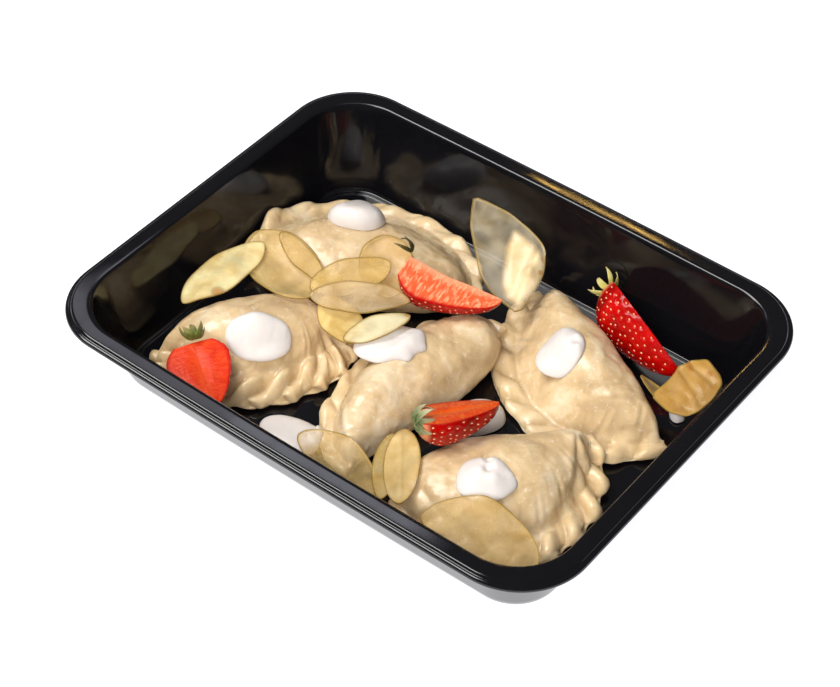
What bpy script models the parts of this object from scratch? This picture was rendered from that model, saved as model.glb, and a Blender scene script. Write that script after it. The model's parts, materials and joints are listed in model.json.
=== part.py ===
"""Sweet pierogi in a black ready-meal tray: five crimped dumplings, sour cream, dried fruit slices
and cut strawberries.  X runs along the tray, Y across it, and Z = 0 is the table under the tray.
All sizes below are in millimetres and are turned into metres when an object is made."""

import math

import bmesh
import bpy
from mathutils import Matrix, Vector, noise
from mathutils.bvhtree import BVHTree

MM = 0.001

# Tray: a standard thermoformed 227 x 178 mm ready-meal tray
TRAY_LENGTH = 227.0
TRAY_WIDTH = 178.0
TRAY_HEIGHT = 36.0
SHEET = 0.95                # thickness of the formed plastic
RIM_CORNER = 27.5           # corner radius at the outer lip
CORNER_KEEP = 0.55          # corner radius lost for each millimetre of inset
SIDE_BOW = 0.9              # how far the long sides swell at their middle
FLANGE_INSET = 8.2          # from the outer lip to the top of the wall
FLOOR_INSET = 20.0          # from the outer lip to the foot of the long walls
END_WALL_STEEPER = 0.8      # the end walls lean this much less than the long ones
LIP_DROP = 2.5              # how far the lip turns down below the flange
LEDGE_DROP = 0.9            # step between the flange and the lip
BEAD = 0.45                 # raised bead round the floor
CORNER_STEPS = 7

# Everything in the tray keeps this clear of what carries it
GAP = 0.5
REACH = 2.6                 # radius round a point that is searched for what lies under it
EDGE_REACH = 0.8            # the same for pierogi outlines and strawberries

# Pierogi: flat crimped seam and filled belly
SEAM_THICK = 3.4
STATIONS_PER_PLEAT = 3
FOLD_REACH = 0.84           # the fan of sections starts on this share of the folded side
BELLY_STEPS = 7
FOLD_SIDE = 0.42            # height of the folded side's widest line, as a share of the belly's
BED_SETTLE = 10
LUMP = 1.1                  # unevenness of the filling under the dough
LUMP_SCALE = 0.075

SLICE_THICK = 1.0
SLICE_STEPS = (7, 3)
SLICE_SETTLE = 14           # rounds of bending a slice over what lies under it

DOLLOP_SIDES = 12
DOLLOP_DROOP = 6.0          # how far the edge of a dollop hangs below its middle

BERRY_SIDES = 6
BERRY_STATIONS = 6
CORE_STANDS = 0.04          # how far the core bulges out of the cut, as a share of the radius
BERRY_SHOULDER = 0.28       # where a strawberry is widest, from its crown
LEAF_THICK = 0.8

PLASTIC = ("black_plastic", (0.008, 0.008, 0.010), 0.16)
DOUGH = ("boiled_dough", (0.60, 0.46, 0.28), 0.42)
CREAM = ("sour_cream", (0.90, 0.87, 0.82), 0.35)
FRUIT = ("dried_fruit", (0.66, 0.46, 0.14), 0.40)
BERRY = ("strawberry_flesh", (0.55, 0.025, 0.012), 0.30)
LEAF = ("strawberry_leaf", (0.16, 0.19, 0.055), 0.60)


def clear_scene():
    for obj in list(bpy.data.objects):
        bpy.data.objects.remove(obj, do_unlink=True)


def material(name, colour, roughness):
    found = bpy.data.materials.get(name)
    if found:
        return found
    made = bpy.data.materials.new(name)
    made.use_nodes = True
    shader = made.node_tree.nodes["Principled BSDF"]
    shader.inputs["Base Color"].default_value = (*colour, 1.0)
    shader.inputs["Roughness"].default_value = roughness
    shader.inputs["Metallic"].default_value = 0.0
    return made


class Pile:
    """What has been laid in the tray so far, asked for its height at a place."""

    def __init__(self):
        self.trees = []

    def add(self, solid):
        self.trees.append(BVHTree.FromBMesh(solid))

    def height(self, x, y):
        tops = [tree.ray_cast(Vector((x, y, 200.0)), Vector((0, 0, -1)))[0] for tree in self.trees]
        return max((top.z for top in tops if top), default=0.0)

    def height_round(self, x, y, reach=REACH):
        """Highest point within reach of a place, so that edges between points stay clear too."""
        around = [(x, y)]
        for turn in range(8):
            angle = math.tau * turn / 8
            around.append((x + reach * math.cos(angle), y + reach * math.sin(angle)))
        return max(self.height(*place) for place in around)


def loft(rings):
    """Closed solid through a row of rings with equal point counts; a ring of one point is a pole."""
    solid = bmesh.new()
    rows = [[solid.verts.new(point) for point in ring] for ring in rings]
    for low, high in zip(rows, rows[1:]):
        count = max(len(low), len(high))
        for i in range(count):
            corners = [low[i % len(low)], low[(i + 1) % len(low)]]
            corners += [high[(i + 1) % len(high)], high[i % len(high)]]
            solid.faces.new(list(dict.fromkeys(corners)))
    for end in (rows[0], rows[-1]):
        if len(end) > 1:
            solid.faces.new(end)
    bmesh.ops.recalc_face_normals(solid, faces=solid.faces)
    return solid


def finish(name, solid, finish_of, pile=None, smooth_under=40.0):
    """Turn a solid in millimetres into a named object in metres and add it to the pile."""
    bmesh.ops.triangulate(solid, faces=solid.faces)
    bmesh.ops.recalc_face_normals(solid, faces=solid.faces)
    if pile is not None:
        pile.add(solid)
    bmesh.ops.scale(solid, vec=(MM, MM, MM), verts=solid.verts)
    mesh = bpy.data.meshes.new(name)
    solid.to_mesh(mesh)
    solid.free()
    mesh.materials.append(material(*finish_of))
    mesh.shade_smooth()
    mesh.set_sharp_from_angle(angle=math.radians(smooth_under))
    obj = bpy.data.objects.new(name, mesh)
    bpy.context.scene.collection.objects.link(obj)
    return obj


# ---------------------------------------------------------------- tray

def tray_profile():
    """Section of the tray as (inset, height): floor, inner wall, flange, lip and back underneath."""
    top = TRAY_HEIGHT
    lean = (FLOOR_INSET - FLANGE_INSET) / (top - SHEET)
    wall = SHEET * 1.05
    ledge = top - LEDGE_DROP
    skirt = top - LIP_DROP
    foot = FLOOR_INSET
    inside = [
        (foot + 4.2, SHEET), (foot + 2.6, SHEET), (foot + 2.1, SHEET + BEAD), (foot + 1.4, SHEET + 0.1),
        (foot + 0.3, SHEET + 0.55), (foot - 0.7, SHEET + 1.8), (foot - 1.5, SHEET + 4.0),
        (FLANGE_INSET + lean * 2.4, top - 2.4), (FLANGE_INSET + 0.2, top - 0.7),
        (FLANGE_INSET - 0.5, top - 0.12), (FLANGE_INSET - 1.4, top),
    ]
    rim = [
        (2.6, top), (2.05, top - 0.15), (1.7, ledge + 0.1), (0.75, ledge),
        (0.2, ledge - 0.35), (0.0, ledge - 0.95), (0.0, skirt), (SHEET * 0.9, skirt),
    ]
    under = [
        (SHEET, ledge - SHEET), (2.4, ledge - SHEET), (2.9, top - SHEET), (FLANGE_INSET - 1.5, top - SHEET),
        (FLANGE_INSET - 0.8, top - SHEET - 0.9), (foot - 1.5 - wall, SHEET + 3.0),
        (foot - 1.2, SHEET + 0.3), (foot + 0.1, 0.25), (foot + 1.6, 0.0),
    ]
    return inside + rim + under


def rounded_outline(inset, height):
    """Rounded rectangle at an inset from the outer lip, with its long sides slightly bowed."""
    below_flange = max(0.0, inset - FLANGE_INSET)
    half_x = TRAY_LENGTH / 2 - min(inset, FLANGE_INSET) - below_flange * END_WALL_STEEPER
    half_y = TRAY_WIDTH / 2 - inset
    radius = RIM_CORNER - CORNER_KEEP * inset
    points = []
    for corner in range(4):
        side_x, side_y = ((1, 1), (-1, 1), (-1, -1), (1, -1))[corner]
        centre = (side_x * (half_x - radius), side_y * (half_y - radius))
        for step in range(CORNER_STEPS):
            angle = math.radians(90 * (corner + step / (CORNER_STEPS - 1)))
            points.append((centre[0] + radius * math.cos(angle), centre[1] + radius * math.sin(angle)))
        if corner % 2 == 0:
            points += [(side_x * half_x * share, side_y * half_y) for share in (0.35, -0.35)]
        else:
            points.append((side_x * half_x, 0.0))
    bow = [SIDE_BOW * math.cos(math.pi * x / (2 * half_x)) for x, y in points]
    return [Vector((x, y + math.copysign(b, y) * (abs(y) > half_y * 0.5), height))
            for (x, y), b in zip(points, bow)]


def make_tray(pile):
    rings = [rounded_outline(inset, height) for inset, height in tray_profile()]
    finish("tray", loft(rings), PLASTIC, pile, smooth_under=35.0)


# ---------------------------------------------------------------- pierogi

def pleat_wave(station, pleats):
    """Outward and upward swell of the seam at a station: a rope of pleats, each rising then dipping."""
    if pleats == 0:
        return 0.0, 0.0
    outward = (-0.75, 0.9, 0.45)[station % STATIONS_PER_PLEAT]
    upward = (-0.5, 0.6, 1.0)[station % STATIONS_PER_PLEAT]
    return outward, upward


def settle(beds):
    """Bed heights along the stations, bridged where one rises above its neighbours."""
    for _ in range(BED_SETTLE):
        padded = [beds[0]] + beds + [beds[-1]]
        beds = [max(bed, (padded[i] + padded[i + 2]) / 2) for i, bed in enumerate(beds)]
    return beds


def belly_height(share, tall, crest, root, plump):
    """Top of the belly from the fold (share 0) to the root of the seam (share 1)."""
    side = FOLD_SIDE * tall
    if share < crest:
        drop = (crest - share) / crest
        return side + (tall - side) * (1 - drop ** 2.2) ** 0.5
    fall = (share - crest) / (1 - crest)
    shape = plump * (1 - fall ** 2) + (1 - plump) * (0.5 + 0.5 * math.cos(math.pi * fall))
    return root + (tall - root) * shape


def pierogi_rings(pile, start, end, fold, arc, height, pleats, pleat_deep, fold_skew, arc_skew,
                  arc_round, lean, crest, root, plump, seam_width):
    """Sections of one pierogi, fanned from its folded side to its crimped seam.
    The seam's arc lies to the left of the way from start to end."""
    start, end = Vector(start), Vector(end)
    middle = (start + end) / 2
    along = (end - start).normalized()
    across = Vector((-along.y, along.x))
    half = (end - start).length / 2
    stations = STATIONS_PER_PLEAT * pleats + 2
    spans = []
    for i in range(stations + 1):
        angle = math.pi * i / stations
        reach, swell = -math.cos(angle), max(0.0, math.sin(angle))
        fold_at = middle + along * (reach * half * FOLD_REACH)
        fold_at -= across * (fold * swell * (1 + fold_skew * reach))
        arc_at = middle + along * (reach * half)
        arc_at += across * (arc * swell ** arc_round * (1 + arc_skew * reach))
        spans.append((fold_at, arc_at, swell))
    fold_beds = settle([pile.height_round(*fold_at, EDGE_REACH) for fold_at, arc_at, swell in spans])
    arc_beds = settle([pile.height_round(*arc_at, EDGE_REACH) for fold_at, arc_at, swell in spans])
    rings = []
    for i, (fold_at, arc_at, swell) in enumerate(spans):
        outward, upward = pleat_wave(i, pleats)
        quiet = min(1.0, 3.0 * swell)
        way = arc_at - fold_at
        depth = way.length
        way = way.normalized()
        seam = min(seam_width, 0.5 * depth)
        belly = depth - seam
        tall = SEAM_THICK + (height - SEAM_THICK) * swell ** 0.9
        start_of_seam = SEAM_THICK + (root - SEAM_THICK) * swell
        pleat = SEAM_THICK * 0.45 * pleat_deep * upward * quiet
        edge = depth + pleat_deep * outward * quiet
        section = [(edge - 0.6, 0.45), (edge, 0.55 * SEAM_THICK + 0.5 * pleat),
                   (edge - 0.28 * seam, 0.7 * SEAM_THICK + 0.3 * start_of_seam + pleat),
                   (depth - 0.92 * seam, 0.92 * start_of_seam + 0.4 * pleat)]
        for step in range(1, BELLY_STEPS + 1):
            share = 0.5 + 0.5 * math.cos(math.pi * step / (BELLY_STEPS + 1))
            section.append((belly * share, belly_height(share, tall, crest, start_of_seam, plump)))
        section += [(0.0, FOLD_SIDE * tall), (0.025 * belly, 0.16 * tall), (0.13 * belly, 0.0)]
        section += [(0.55 * belly, 0.0), (depth - 0.7 * seam, 0.0)]
        ring = []
        for w, z in section:
            bulk = max(0.0, min(1.0, (z - SEAM_THICK) / (height - SEAM_THICK)))
            place = fold_at + way * (w + lean * bulk)
            bed = fold_beds[i] + (arc_beds[i] - fold_beds[i]) * w / depth
            lump = noise.noise(Vector((place.x, place.y, z)) * LUMP_SCALE) * LUMP * 2 * bulk ** 0.5
            ring.append(Vector((place.x, place.y, bed + GAP + z + lump)))
        rings.append(ring)
    return rings


# crest: where the belly is highest, as a share of the way from the fold to the seam
# root: height at which the seam leaves the belly; plump: how long the belly stays high
PIEROGI = (
    # back left, its seam against the back wall
    dict(start=(-91.0, -1.0), end=(-7.0, 44.0), fold=15.0, arc=47.5, height=19.5, pleats=8,
         pleat_deep=0.6, fold_skew=0.0, arc_skew=-0.06, arc_round=0.95, lean=-1.0, crest=0.52,
         root=3.4, plump=0.35, seam_width=8.0),
    # front left, rope-like pleats towards the middle
    dict(start=(-30.0, -6.0), end=(-88.0, -57.0), fold=20.0, arc=28.5, height=20.0, pleats=8,
         pleat_deep=1.2, fold_skew=-0.2, arc_skew=0.05, arc_round=1.0, lean=0.0, crest=0.55,
         root=8.0, plump=0.55, seam_width=12.0),
    # right, its fold along the back wall
    dict(start=(93.0, 23.5), end=(7.0, 62.0), fold=4.6, arc=41.5, height=21.0, pleats=8,
         pleat_deep=0.7, fold_skew=0.3, arc_skew=-0.1, arc_round=1.05, lean=0.0, crest=0.36,
         root=4.0, plump=0.35, seam_width=9.0),
    # middle, bent to a crescent
    dict(start=(7.5, -59.0), end=(11.5, 34.0), fold=8.5, arc=33.5, height=22.0, pleats=7,
         pleat_deep=0.5, fold_skew=0.8, arc_skew=0.06, arc_round=0.85, lean=3.0, crest=0.53,
         root=3.4, plump=0.85, seam_width=6.0),
    # front right
    dict(start=(69.5, 9.0), end=(29.0, -60.0), fold=10.5, arc=44.0, height=20.0, pleats=9,
         pleat_deep=1.0, fold_skew=0.7, arc_skew=0.1, arc_round=0.95, lean=0.5, crest=0.5,
         root=4.5, plump=0.8, seam_width=9.0),
)


def make_pierogi(pile):
    for number, sizes in enumerate(PIEROGI, start=1):
        finish(f"pierogi_{number}", loft(pierogi_rings(pile, **sizes)), DOUGH, pile, smooth_under=70.0)


# ---------------------------------------------------------------- sour cream

def dollop_rings(pile, centre, size, heading, wobble, lobes, thick):
    """A spoonful that has run out over what it lies on: round edged and domed on top."""
    def place(share, turn):
        angle = math.tau * turn / DOLLOP_SIDES
        edge = share * (1 + wobble * math.cos(lobes * angle + heading)) / 2
        x, y = edge * size[0] * math.cos(angle), edge * size[1] * math.sin(angle)
        c, s = math.cos(heading), math.sin(heading)
        return centre[0] + c * x - s * y, centre[1] + s * x + c * y

    middle = pile.height_round(*centre, 1.6)

    def ring(share, rise):
        points = []
        for turn in range(DOLLOP_SIDES if share else 1):
            x, y = place(share, turn)
            bed = max(pile.height_round(x, y, 1.6), middle - DOLLOP_DROOP * share ** 2)
            points.append(Vector((x, y, bed + GAP + rise)))
        return points

    return [ring(0, 0.0), ring(0.5, 0.0), ring(0.93, 0.0), ring(1.0, 0.35 * thick),
            ring(0.88, 0.8 * thick), ring(0.5, thick), ring(0, 1.06 * thick)]


CREAM_DOLLOPS = (
    dict(centre=(-66.0, 39.5), size=(22, 23), heading=0.64, wobble=0.05, lobes=3, thick=8.0),
    dict(centre=(-51.9, -35.5), size=(24.5, 17), heading=0.62, wobble=0.05, lobes=3, thick=4.0),
    dict(centre=(-8.5, -12.5), size=(26, 18), heading=0.8, wobble=0.10, lobes=3, thick=4.0),
    dict(centre=(41.0, 28.0), size=(18, 22), heading=0.25, wobble=0.03, lobes=2, thick=3.5),
    dict(centre=(57.0, -41.0), size=(20, 17), heading=0.3, wobble=0.08, lobes=3, thick=3.5),
    dict(centre=(-20.2, -55.0), size=(25, 17), heading=0.1, wobble=0.04, lobes=3, thick=3.0),
    dict(centre=(30.5, -7.5), size=(26, 17), heading=0.9, wobble=0.05, lobes=3, thick=10.0),
    dict(centre=(84.0, 42.5), size=(9, 5), heading=2.2, wobble=0.05, lobes=2, thick=3.5),
)


def make_cream(pile, first, last):
    for number in range(first, last + 1):
        rings = dollop_rings(pile, **CREAM_DOLLOPS[number - 1])
        finish(f"cream_{number}", loft(rings), CREAM, pile, smooth_under=80.0)


# ---------------------------------------------------------------- dried fruit slices

def sides_at(u, sides):
    """The low and high edge of a slice at a share u of its half length, on the straight lines
    between its given sides."""
    for (before, low, high), (after, next_low, next_high) in zip(sides, sides[1:]):
        if u <= after:
            share = (u - before) / (after - before)
            return low + share * (next_low - low), high + share * (next_high - high)
    return sides[-1][1:]


def slice_solid(pile, centre, length, width, heading, bow=0.0):
    """A thin crisp slice, bent over what lies under it; bow curves its outline sideways."""
    solid = bmesh.new()
    bmesh.ops.create_grid(solid, x_segments=SLICE_STEPS[0], y_segments=SLICE_STEPS[1], size=1.0)
    c, s = math.cos(heading), math.sin(heading)
    rest = {}
    for vert in solid.verts:
        u, v = -math.cos(math.pi * (vert.co.x + 1) / 2), vert.co.y
        half_width = width / 2 * math.sqrt(1 - 0.93 * u * u)
        x, y = u * length / 2, v * half_width + bow * (1 - u * u)
        place = Vector((centre[0] + c * x - s * y, centre[1] + s * x + c * y))
        rest[vert] = pile.height_round(place.x, place.y) + GAP
        vert.co = (place.x, place.y, rest[vert])
    for _ in range(SLICE_SETTLE):
        for vert in solid.verts:
            near = [edge.other_vert(vert) for edge in vert.link_edges]
            mean = sum(other.co.z for other in near) / len(near)
            vert.co.z = max(rest[vert], mean)
    grown = bmesh.ops.extrude_face_region(solid, geom=solid.faces[:], use_keep_orig=True)
    top = [item for item in grown["geom"] if isinstance(item, bmesh.types.BMVert)]
    bmesh.ops.translate(solid, vec=(0, 0, SLICE_THICK), verts=top)
    bmesh.ops.recalc_face_normals(solid, faces=solid.faces)
    return solid


def stood_slice(pile, centre, along, across, length, cup, sides):
    """A slice that stands or leans: a thin curved sheet round two directions in space."""
    along = Vector(along).normalized()
    across = Vector(across)
    across = (across - along * across.dot(along)).normalized()
    out = along.cross(across)
    solid = bmesh.new()
    bmesh.ops.create_grid(solid, x_segments=SLICE_STEPS[0], y_segments=SLICE_STEPS[1], size=1.0)
    for vert in solid.verts:
        u, v = -math.cos(math.pi * (vert.co.x + 1) / 2), vert.co.y
        low, high = sides_at(u, sides)
        hollow = cup * (u * u * 0.6 + v * v - 0.5)
        reach = low + (high - low) * (v + 1) / 2
        place = Vector(centre) + along * (u * length / 2) + across * reach + out * hollow
        place.z = max(place.z, pile.height_round(place.x, place.y) + GAP)
        vert.co = place
    grown = bmesh.ops.extrude_face_region(solid, geom=solid.faces[:], use_keep_orig=True)
    top = [item for item in grown["geom"] if isinstance(item, bmesh.types.BMVert)]
    bmesh.ops.translate(solid, vec=out * math.copysign(SLICE_THICK, out.z), verts=top)
    bmesh.ops.recalc_face_normals(solid, faces=solid.faces)
    return solid


LAID_SLICES = {
    # over the fold of the two left pierogi
    "left_1": dict(centre=(-70.0, -1.0), length=45, width=27, heading=-0.40),
    "left_2": dict(centre=(-84.5, -18.5), length=42, width=19, heading=1.45),
    "left_3": dict(centre=(-65.0, 4.8), length=33, width=9.5, heading=-0.36),
    # between the left pierogi and the crescent
    "middle_1": dict(centre=(-38.0, 23.0), length=31, width=22, heading=-0.82),
    "middle_2": dict(centre=(-43.0, 7.5), length=34, width=19, heading=1.15),
    "middle_3": dict(centre=(-30.5, -13.5), length=28, width=16, heading=-0.40),
    "middle_4": dict(centre=(-15.2, -11.2), length=27, width=13, heading=1.10),
    "middle_5": dict(centre=(-31.0, -3.0), length=37, width=19, heading=0.52),
    # right corner, on the tip of the right pierogi
    "right_1": dict(centre=(78.0, 38.0), length=18, width=6, heading=-0.15),
    # front
    "front_1": dict(centre=(7.0, -61.8), length=43, width=17, heading=-0.20, bow=2),
    "front_2": dict(centre=(21.8, -51.8), length=32, width=10, heading=-1.05),
    "front_3": dict(centre=(27.6, -50.5), length=36, width=14, heading=-0.96),
    "front_4": dict(centre=(70.0, -61.0), length=44, width=25, heading=0.27, bow=2),
}

# each standing slice's sides are (share of its half length, low edge, high edge)
STOOD_SLICES = {
    "back_1": dict(centre=(-4.0, 53.8, 23.6), along=(0.77, -0.53, -0.35), across=(0.63, 0.73, 0.28),
                   length=50, cup=2.5,
                   sides=((-1.0, -6.0, -2.5), (-0.6, -9.8, 6.5), (-0.2, -10.8, 12.0), (0.2, -12.2, 15.3),
                          (0.6, -10.2, 11.0), (1.0, -5.0, 0.6))),
    "back_2": dict(centre=(6.9, 51.4, 22.2), along=(0.66, -0.66, -0.35), across=(0.65, 0.70, 0.25),
                   length=33, cup=1.5,
                   sides=((-1.0, -3.5, 0.5), (-0.6, -6.5, 5.5), (-0.1, -8.5, 9.0), (0.3, -9.8, 7.0),
                          (0.66, -9.3, 3.0), (1.0, -6.0, -1.4))),
    "corner": dict(centre=(88.6, 45.0, 15.2), along=(0.75, 0.28, 0.60), across=(-0.28, 0.65, 0.70),
                   length=25, cup=2.0,
                   sides=((-1.0, -1.5, 2.0), (-0.7, -7.0, 6.0), (-0.3, -9.5, 9.8), (0.2, -8.5, 10.5),
                          (0.7, -5.5, 9.5), (1.0, -2.0, 2.5))),
}


def make_slices(pile):
    for name, sizes in LAID_SLICES.items():
        finish(f"fruit_slice_{name}", slice_solid(pile, **sizes), FRUIT, pile, smooth_under=60.0)


def make_stood_slices(pile):
    for name, sizes in STOOD_SLICES.items():
        finish(f"fruit_slice_{name}", stood_slice(pile, **sizes), FRUIT, pile, smooth_under=60.0)


# ---------------------------------------------------------------- strawberries

def berry_width(share):
    """Radius of a strawberry as a share of its widest, from the crown (0) to the tip (1)."""
    if share < BERRY_SHOULDER:
        return math.sqrt(1 - ((BERRY_SHOULDER - share) / (BERRY_SHOULDER * 1.25)) ** 2)
    taper = (share - BERRY_SHOULDER) / (1 - BERRY_SHOULDER)
    return math.sqrt(1 - taper ** 2) * (1 - 0.22 * taper)


def lift_clear(pile, solid):
    """Raise a solid until it is clear of the pile, and say by how much."""
    places = [vert.co for vert in solid.verts] + [face.calc_center_median() for face in solid.faces]
    clear = min(place.z - pile.height_round(place.x, place.y, EDGE_REACH) for place in places)
    lift = Vector((0, 0, max(0.0, GAP - clear)))
    bmesh.ops.translate(solid, vec=lift, verts=solid.verts)
    return lift


def berry_solid(crown, tip, skin, radius, span, deep):
    """A cut piece of strawberry: skin on one side, cut faces that meet at the core on the other.
    deep is how far the skin stands out from the core, as a share of the radius."""
    axis = (tip - crown).normalized()
    skin = Vector(skin)
    skin = (skin - axis * skin.dot(axis)).normalized()
    side = axis.cross(skin)
    length = (tip - crown).length
    rings = []
    for station in range(BERRY_STATIONS):
        share = 0.5 - 0.5 * math.cos(math.pi * (station + 0.25) / BERRY_STATIONS)
        centre = crown + axis * (share * length)
        ring = [centre - skin * CORE_STANDS * radius]
        for step in range(BERRY_SIDES + 1):
            angle = math.radians(span) * (step / BERRY_SIDES - 0.5)
            reach = radius * berry_width(share)
            ring.append(centre + (skin * deep * math.cos(angle) + side * math.sin(angle)) * reach)
        rings.append(ring)
    return loft([[crown + skin * 0.3 * radius]] + rings + [[tip + skin * 0.15 * radius]])


def leaf_crown(at, axis, towards, reach, leaves, spread, curl):
    """Fan of sepals behind the stem end, curling back along the stem."""
    towards = Vector(towards)
    towards = (towards - axis * towards.dot(axis)).normalized()
    side = axis.cross(towards)
    base = at - axis * (GAP + 0.4) + towards * 2.0
    points = []
    for step in range(2 * leaves + 1):
        angle = math.radians(spread) * (step / (2 * leaves) - 0.5)
        out = reach if step % 2 else 0.3 * reach
        bend = curl * out * (1 + 0.5 * math.sin(3.0 * step))
        points.append(base + (towards * math.cos(angle) + side * math.sin(angle)) * out - axis * bend)
    points.append(base - towards * 0.25 * reach)
    behind = axis * LEAF_THICK
    return loft([[base], points, [point - behind for point in points], [base - behind * 1.2]])


STRAWBERRIES = (
    # front left, cut side up towards the front
    dict(crown=(-67.6, -54.8, 19.5), tip=(-43.0, -71.0, 15.5), skin=(-0.10, 0.20, -0.90), radius=12.0,
         span=180, deep=0.45),
    # middle back, a quarter on its skin
    dict(crown=(-26.0, 22.0, 30.5), tip=(12.5, 28.6, 26.0), skin=(0.05, -0.61, -0.79), radius=15.5,
         span=90, deep=1.0),
    # between the middle and the front right pierogi
    dict(crown=(23.5, -36.3, 18.0), tip=(41.6, -12.3, 18.0), skin=(0.27, -0.45, -0.85), radius=12.8,
         span=180, deep=0.9),
    # right, in the gap along the back wall
    dict(crown=(36.9, 72.5, 12.0), tip=(78.3, 53.2, 9.3), skin=(-0.36, -0.88, 0.30), radius=14.5,
         span=90, deep=1.0),
)

LEAF_CROWNS = (
    dict(towards=(-0.5, 0.4, 0.8), reach=8.0, leaves=4, spread=200, curl=0.2),
    dict(towards=(-0.5, 0.3, 0.8), reach=7.0, leaves=3, spread=150, curl=0.4),
    dict(towards=(0.6, 0.1, 0.8), reach=6.0, leaves=4, spread=170, curl=0.0),
    dict(towards=(-0.3, -0.9, 0.2), reach=5.4, leaves=4, spread=130, curl=0.5),
)


def make_strawberries(pile):
    for number, (fruit, leaves) in enumerate(zip(STRAWBERRIES, LEAF_CROWNS), start=1):
        crown, tip = Vector(fruit["crown"]), Vector(fruit["tip"])
        berry = berry_solid(crown, tip, *(fruit[key] for key in ("skin", "radius", "span", "deep")))
        lift = lift_clear(pile, berry)
        sepals = leaf_crown(crown + lift, (tip - crown).normalized(), **leaves)
        lift_clear(pile, sepals)
        finish(f"strawberry_{number}", berry, BERRY, pile, smooth_under=50.0)
        finish(f"leaf_crown_{number}", sepals, LEAF, pile, smooth_under=60.0)


# ---------------------------------------------------------------- assembly

def main():
    clear_scene()
    pile = Pile()
    make_tray(pile)
    make_pierogi(pile)
    make_cream(pile, 1, 8)
    make_slices(pile)
    make_stood_slices(pile)
    make_strawberries(pile)


main()
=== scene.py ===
"""Dresses a tray meal of crimped pierogi with soft cream, dried fruit slices and cut strawberries."""
import json
import math

import bpy
import numpy as np
from mathutils import Matrix, Vector
from mathutils.bvhtree import BVHTree

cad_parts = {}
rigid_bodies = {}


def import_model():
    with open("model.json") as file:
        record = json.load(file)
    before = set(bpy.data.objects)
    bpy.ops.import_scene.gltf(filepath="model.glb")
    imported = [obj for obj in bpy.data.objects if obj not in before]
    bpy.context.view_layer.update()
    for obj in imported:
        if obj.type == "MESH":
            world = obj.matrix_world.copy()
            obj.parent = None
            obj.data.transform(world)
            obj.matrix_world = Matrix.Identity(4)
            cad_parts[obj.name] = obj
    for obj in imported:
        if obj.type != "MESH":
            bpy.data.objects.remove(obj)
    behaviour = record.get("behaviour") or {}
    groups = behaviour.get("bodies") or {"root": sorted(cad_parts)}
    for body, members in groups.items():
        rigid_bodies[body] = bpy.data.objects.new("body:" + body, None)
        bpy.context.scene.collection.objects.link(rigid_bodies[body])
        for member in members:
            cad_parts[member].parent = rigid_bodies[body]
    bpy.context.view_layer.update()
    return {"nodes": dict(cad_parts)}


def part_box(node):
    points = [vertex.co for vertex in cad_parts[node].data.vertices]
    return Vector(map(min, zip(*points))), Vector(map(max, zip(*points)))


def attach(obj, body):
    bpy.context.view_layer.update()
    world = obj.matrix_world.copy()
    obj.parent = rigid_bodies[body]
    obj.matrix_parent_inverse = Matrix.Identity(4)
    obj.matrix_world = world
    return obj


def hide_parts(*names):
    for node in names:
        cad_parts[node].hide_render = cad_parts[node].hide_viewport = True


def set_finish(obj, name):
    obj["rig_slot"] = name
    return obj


bl_info = {
    "name": "Pierogi Tray Meal",
    "version": (1, 0, 0),
    "blender": (4, 5, 0),
    "location": "3D View > Sidebar > Pierogi Tray",
    "description": "Dresses a tray of crimped pierogi with cream, dried fruit and strawberries",
    "category": "Object",
}

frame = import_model()
NODES = frame["nodes"]
BODY = "root"
MM = 0.001
SAME_POINT = 0.002 * MM          # points nearer than this are one
TINY = 1e-6


# ---------------------------------------------------------------- the maker's hand tools

def deselect():
    if bpy.context.object and bpy.context.object.mode != "OBJECT":
        bpy.ops.object.mode_set(mode="OBJECT")
    bpy.ops.object.select_all(action="DESELECT")


def pick(piece):
    deselect()
    piece.select_set(True)
    bpy.context.view_layer.objects.active = piece


def named(name):
    """The piece that was just added, copied or joined, under the name that it keeps."""
    piece = bpy.context.object
    piece.name = piece.data.name = name
    return piece


def working_copy(node, name):
    """A copy of a CAD node with its corners merged and its triangles paired into quads."""
    pick(NODES[node])
    bpy.ops.object.duplicate()
    piece = named(name)
    piece.parent = None
    piece.data.materials.clear()
    bpy.ops.object.mode_set(mode="EDIT")
    bpy.ops.mesh.select_all(action="SELECT")
    bpy.ops.mesh.remove_doubles(threshold=SAME_POINT)
    bpy.ops.mesh.tris_convert_to_quads(face_threshold=math.radians(50), shape_threshold=math.radians(70))
    bpy.ops.object.mode_set(mode="OBJECT")
    return piece


def apply_modifier(piece, kind, **settings):
    pick(piece)
    modifier = piece.modifiers.new(kind.title(), kind)
    for key, value in settings.items():
        setattr(modifier, key, value)
    bpy.ops.object.modifier_apply(modifier=modifier.name)


def refine(piece, levels):
    apply_modifier(piece, "SUBSURF", levels=levels, render_levels=levels)


def refine_in_place(piece, levels, trial_levels=2, rounds=3, correction=0.8):
    """Subdivides a piece smoothly, its points first moved out so that it keeps its size."""
    shape = Shape(piece)
    wanted = shape.place.copy()
    for _ in range(rounds):
        pick(piece)
        bpy.ops.object.duplicate()
        trial = bpy.context.object
        refine(trial, trial_levels)
        shape.place += correction * (wanted - Shape(trial).place[:len(wanted)])
        bpy.data.objects.remove(trial)
        shape.keep()
    refine(piece, levels)


def lumps(piece, size, height):
    """Uneven swellings of a given size and height in millimetres."""
    texture = bpy.data.textures.new(f"{piece.name}_lumps", "CLOUDS")
    texture.noise_scale = size * MM
    texture.noise_depth = 2
    apply_modifier(piece, "DISPLACE", texture=texture, strength=height * MM, mid_level=0.5,
                   direction="NORMAL", texture_coords="LOCAL")
    bpy.data.textures.remove(texture)


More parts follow.
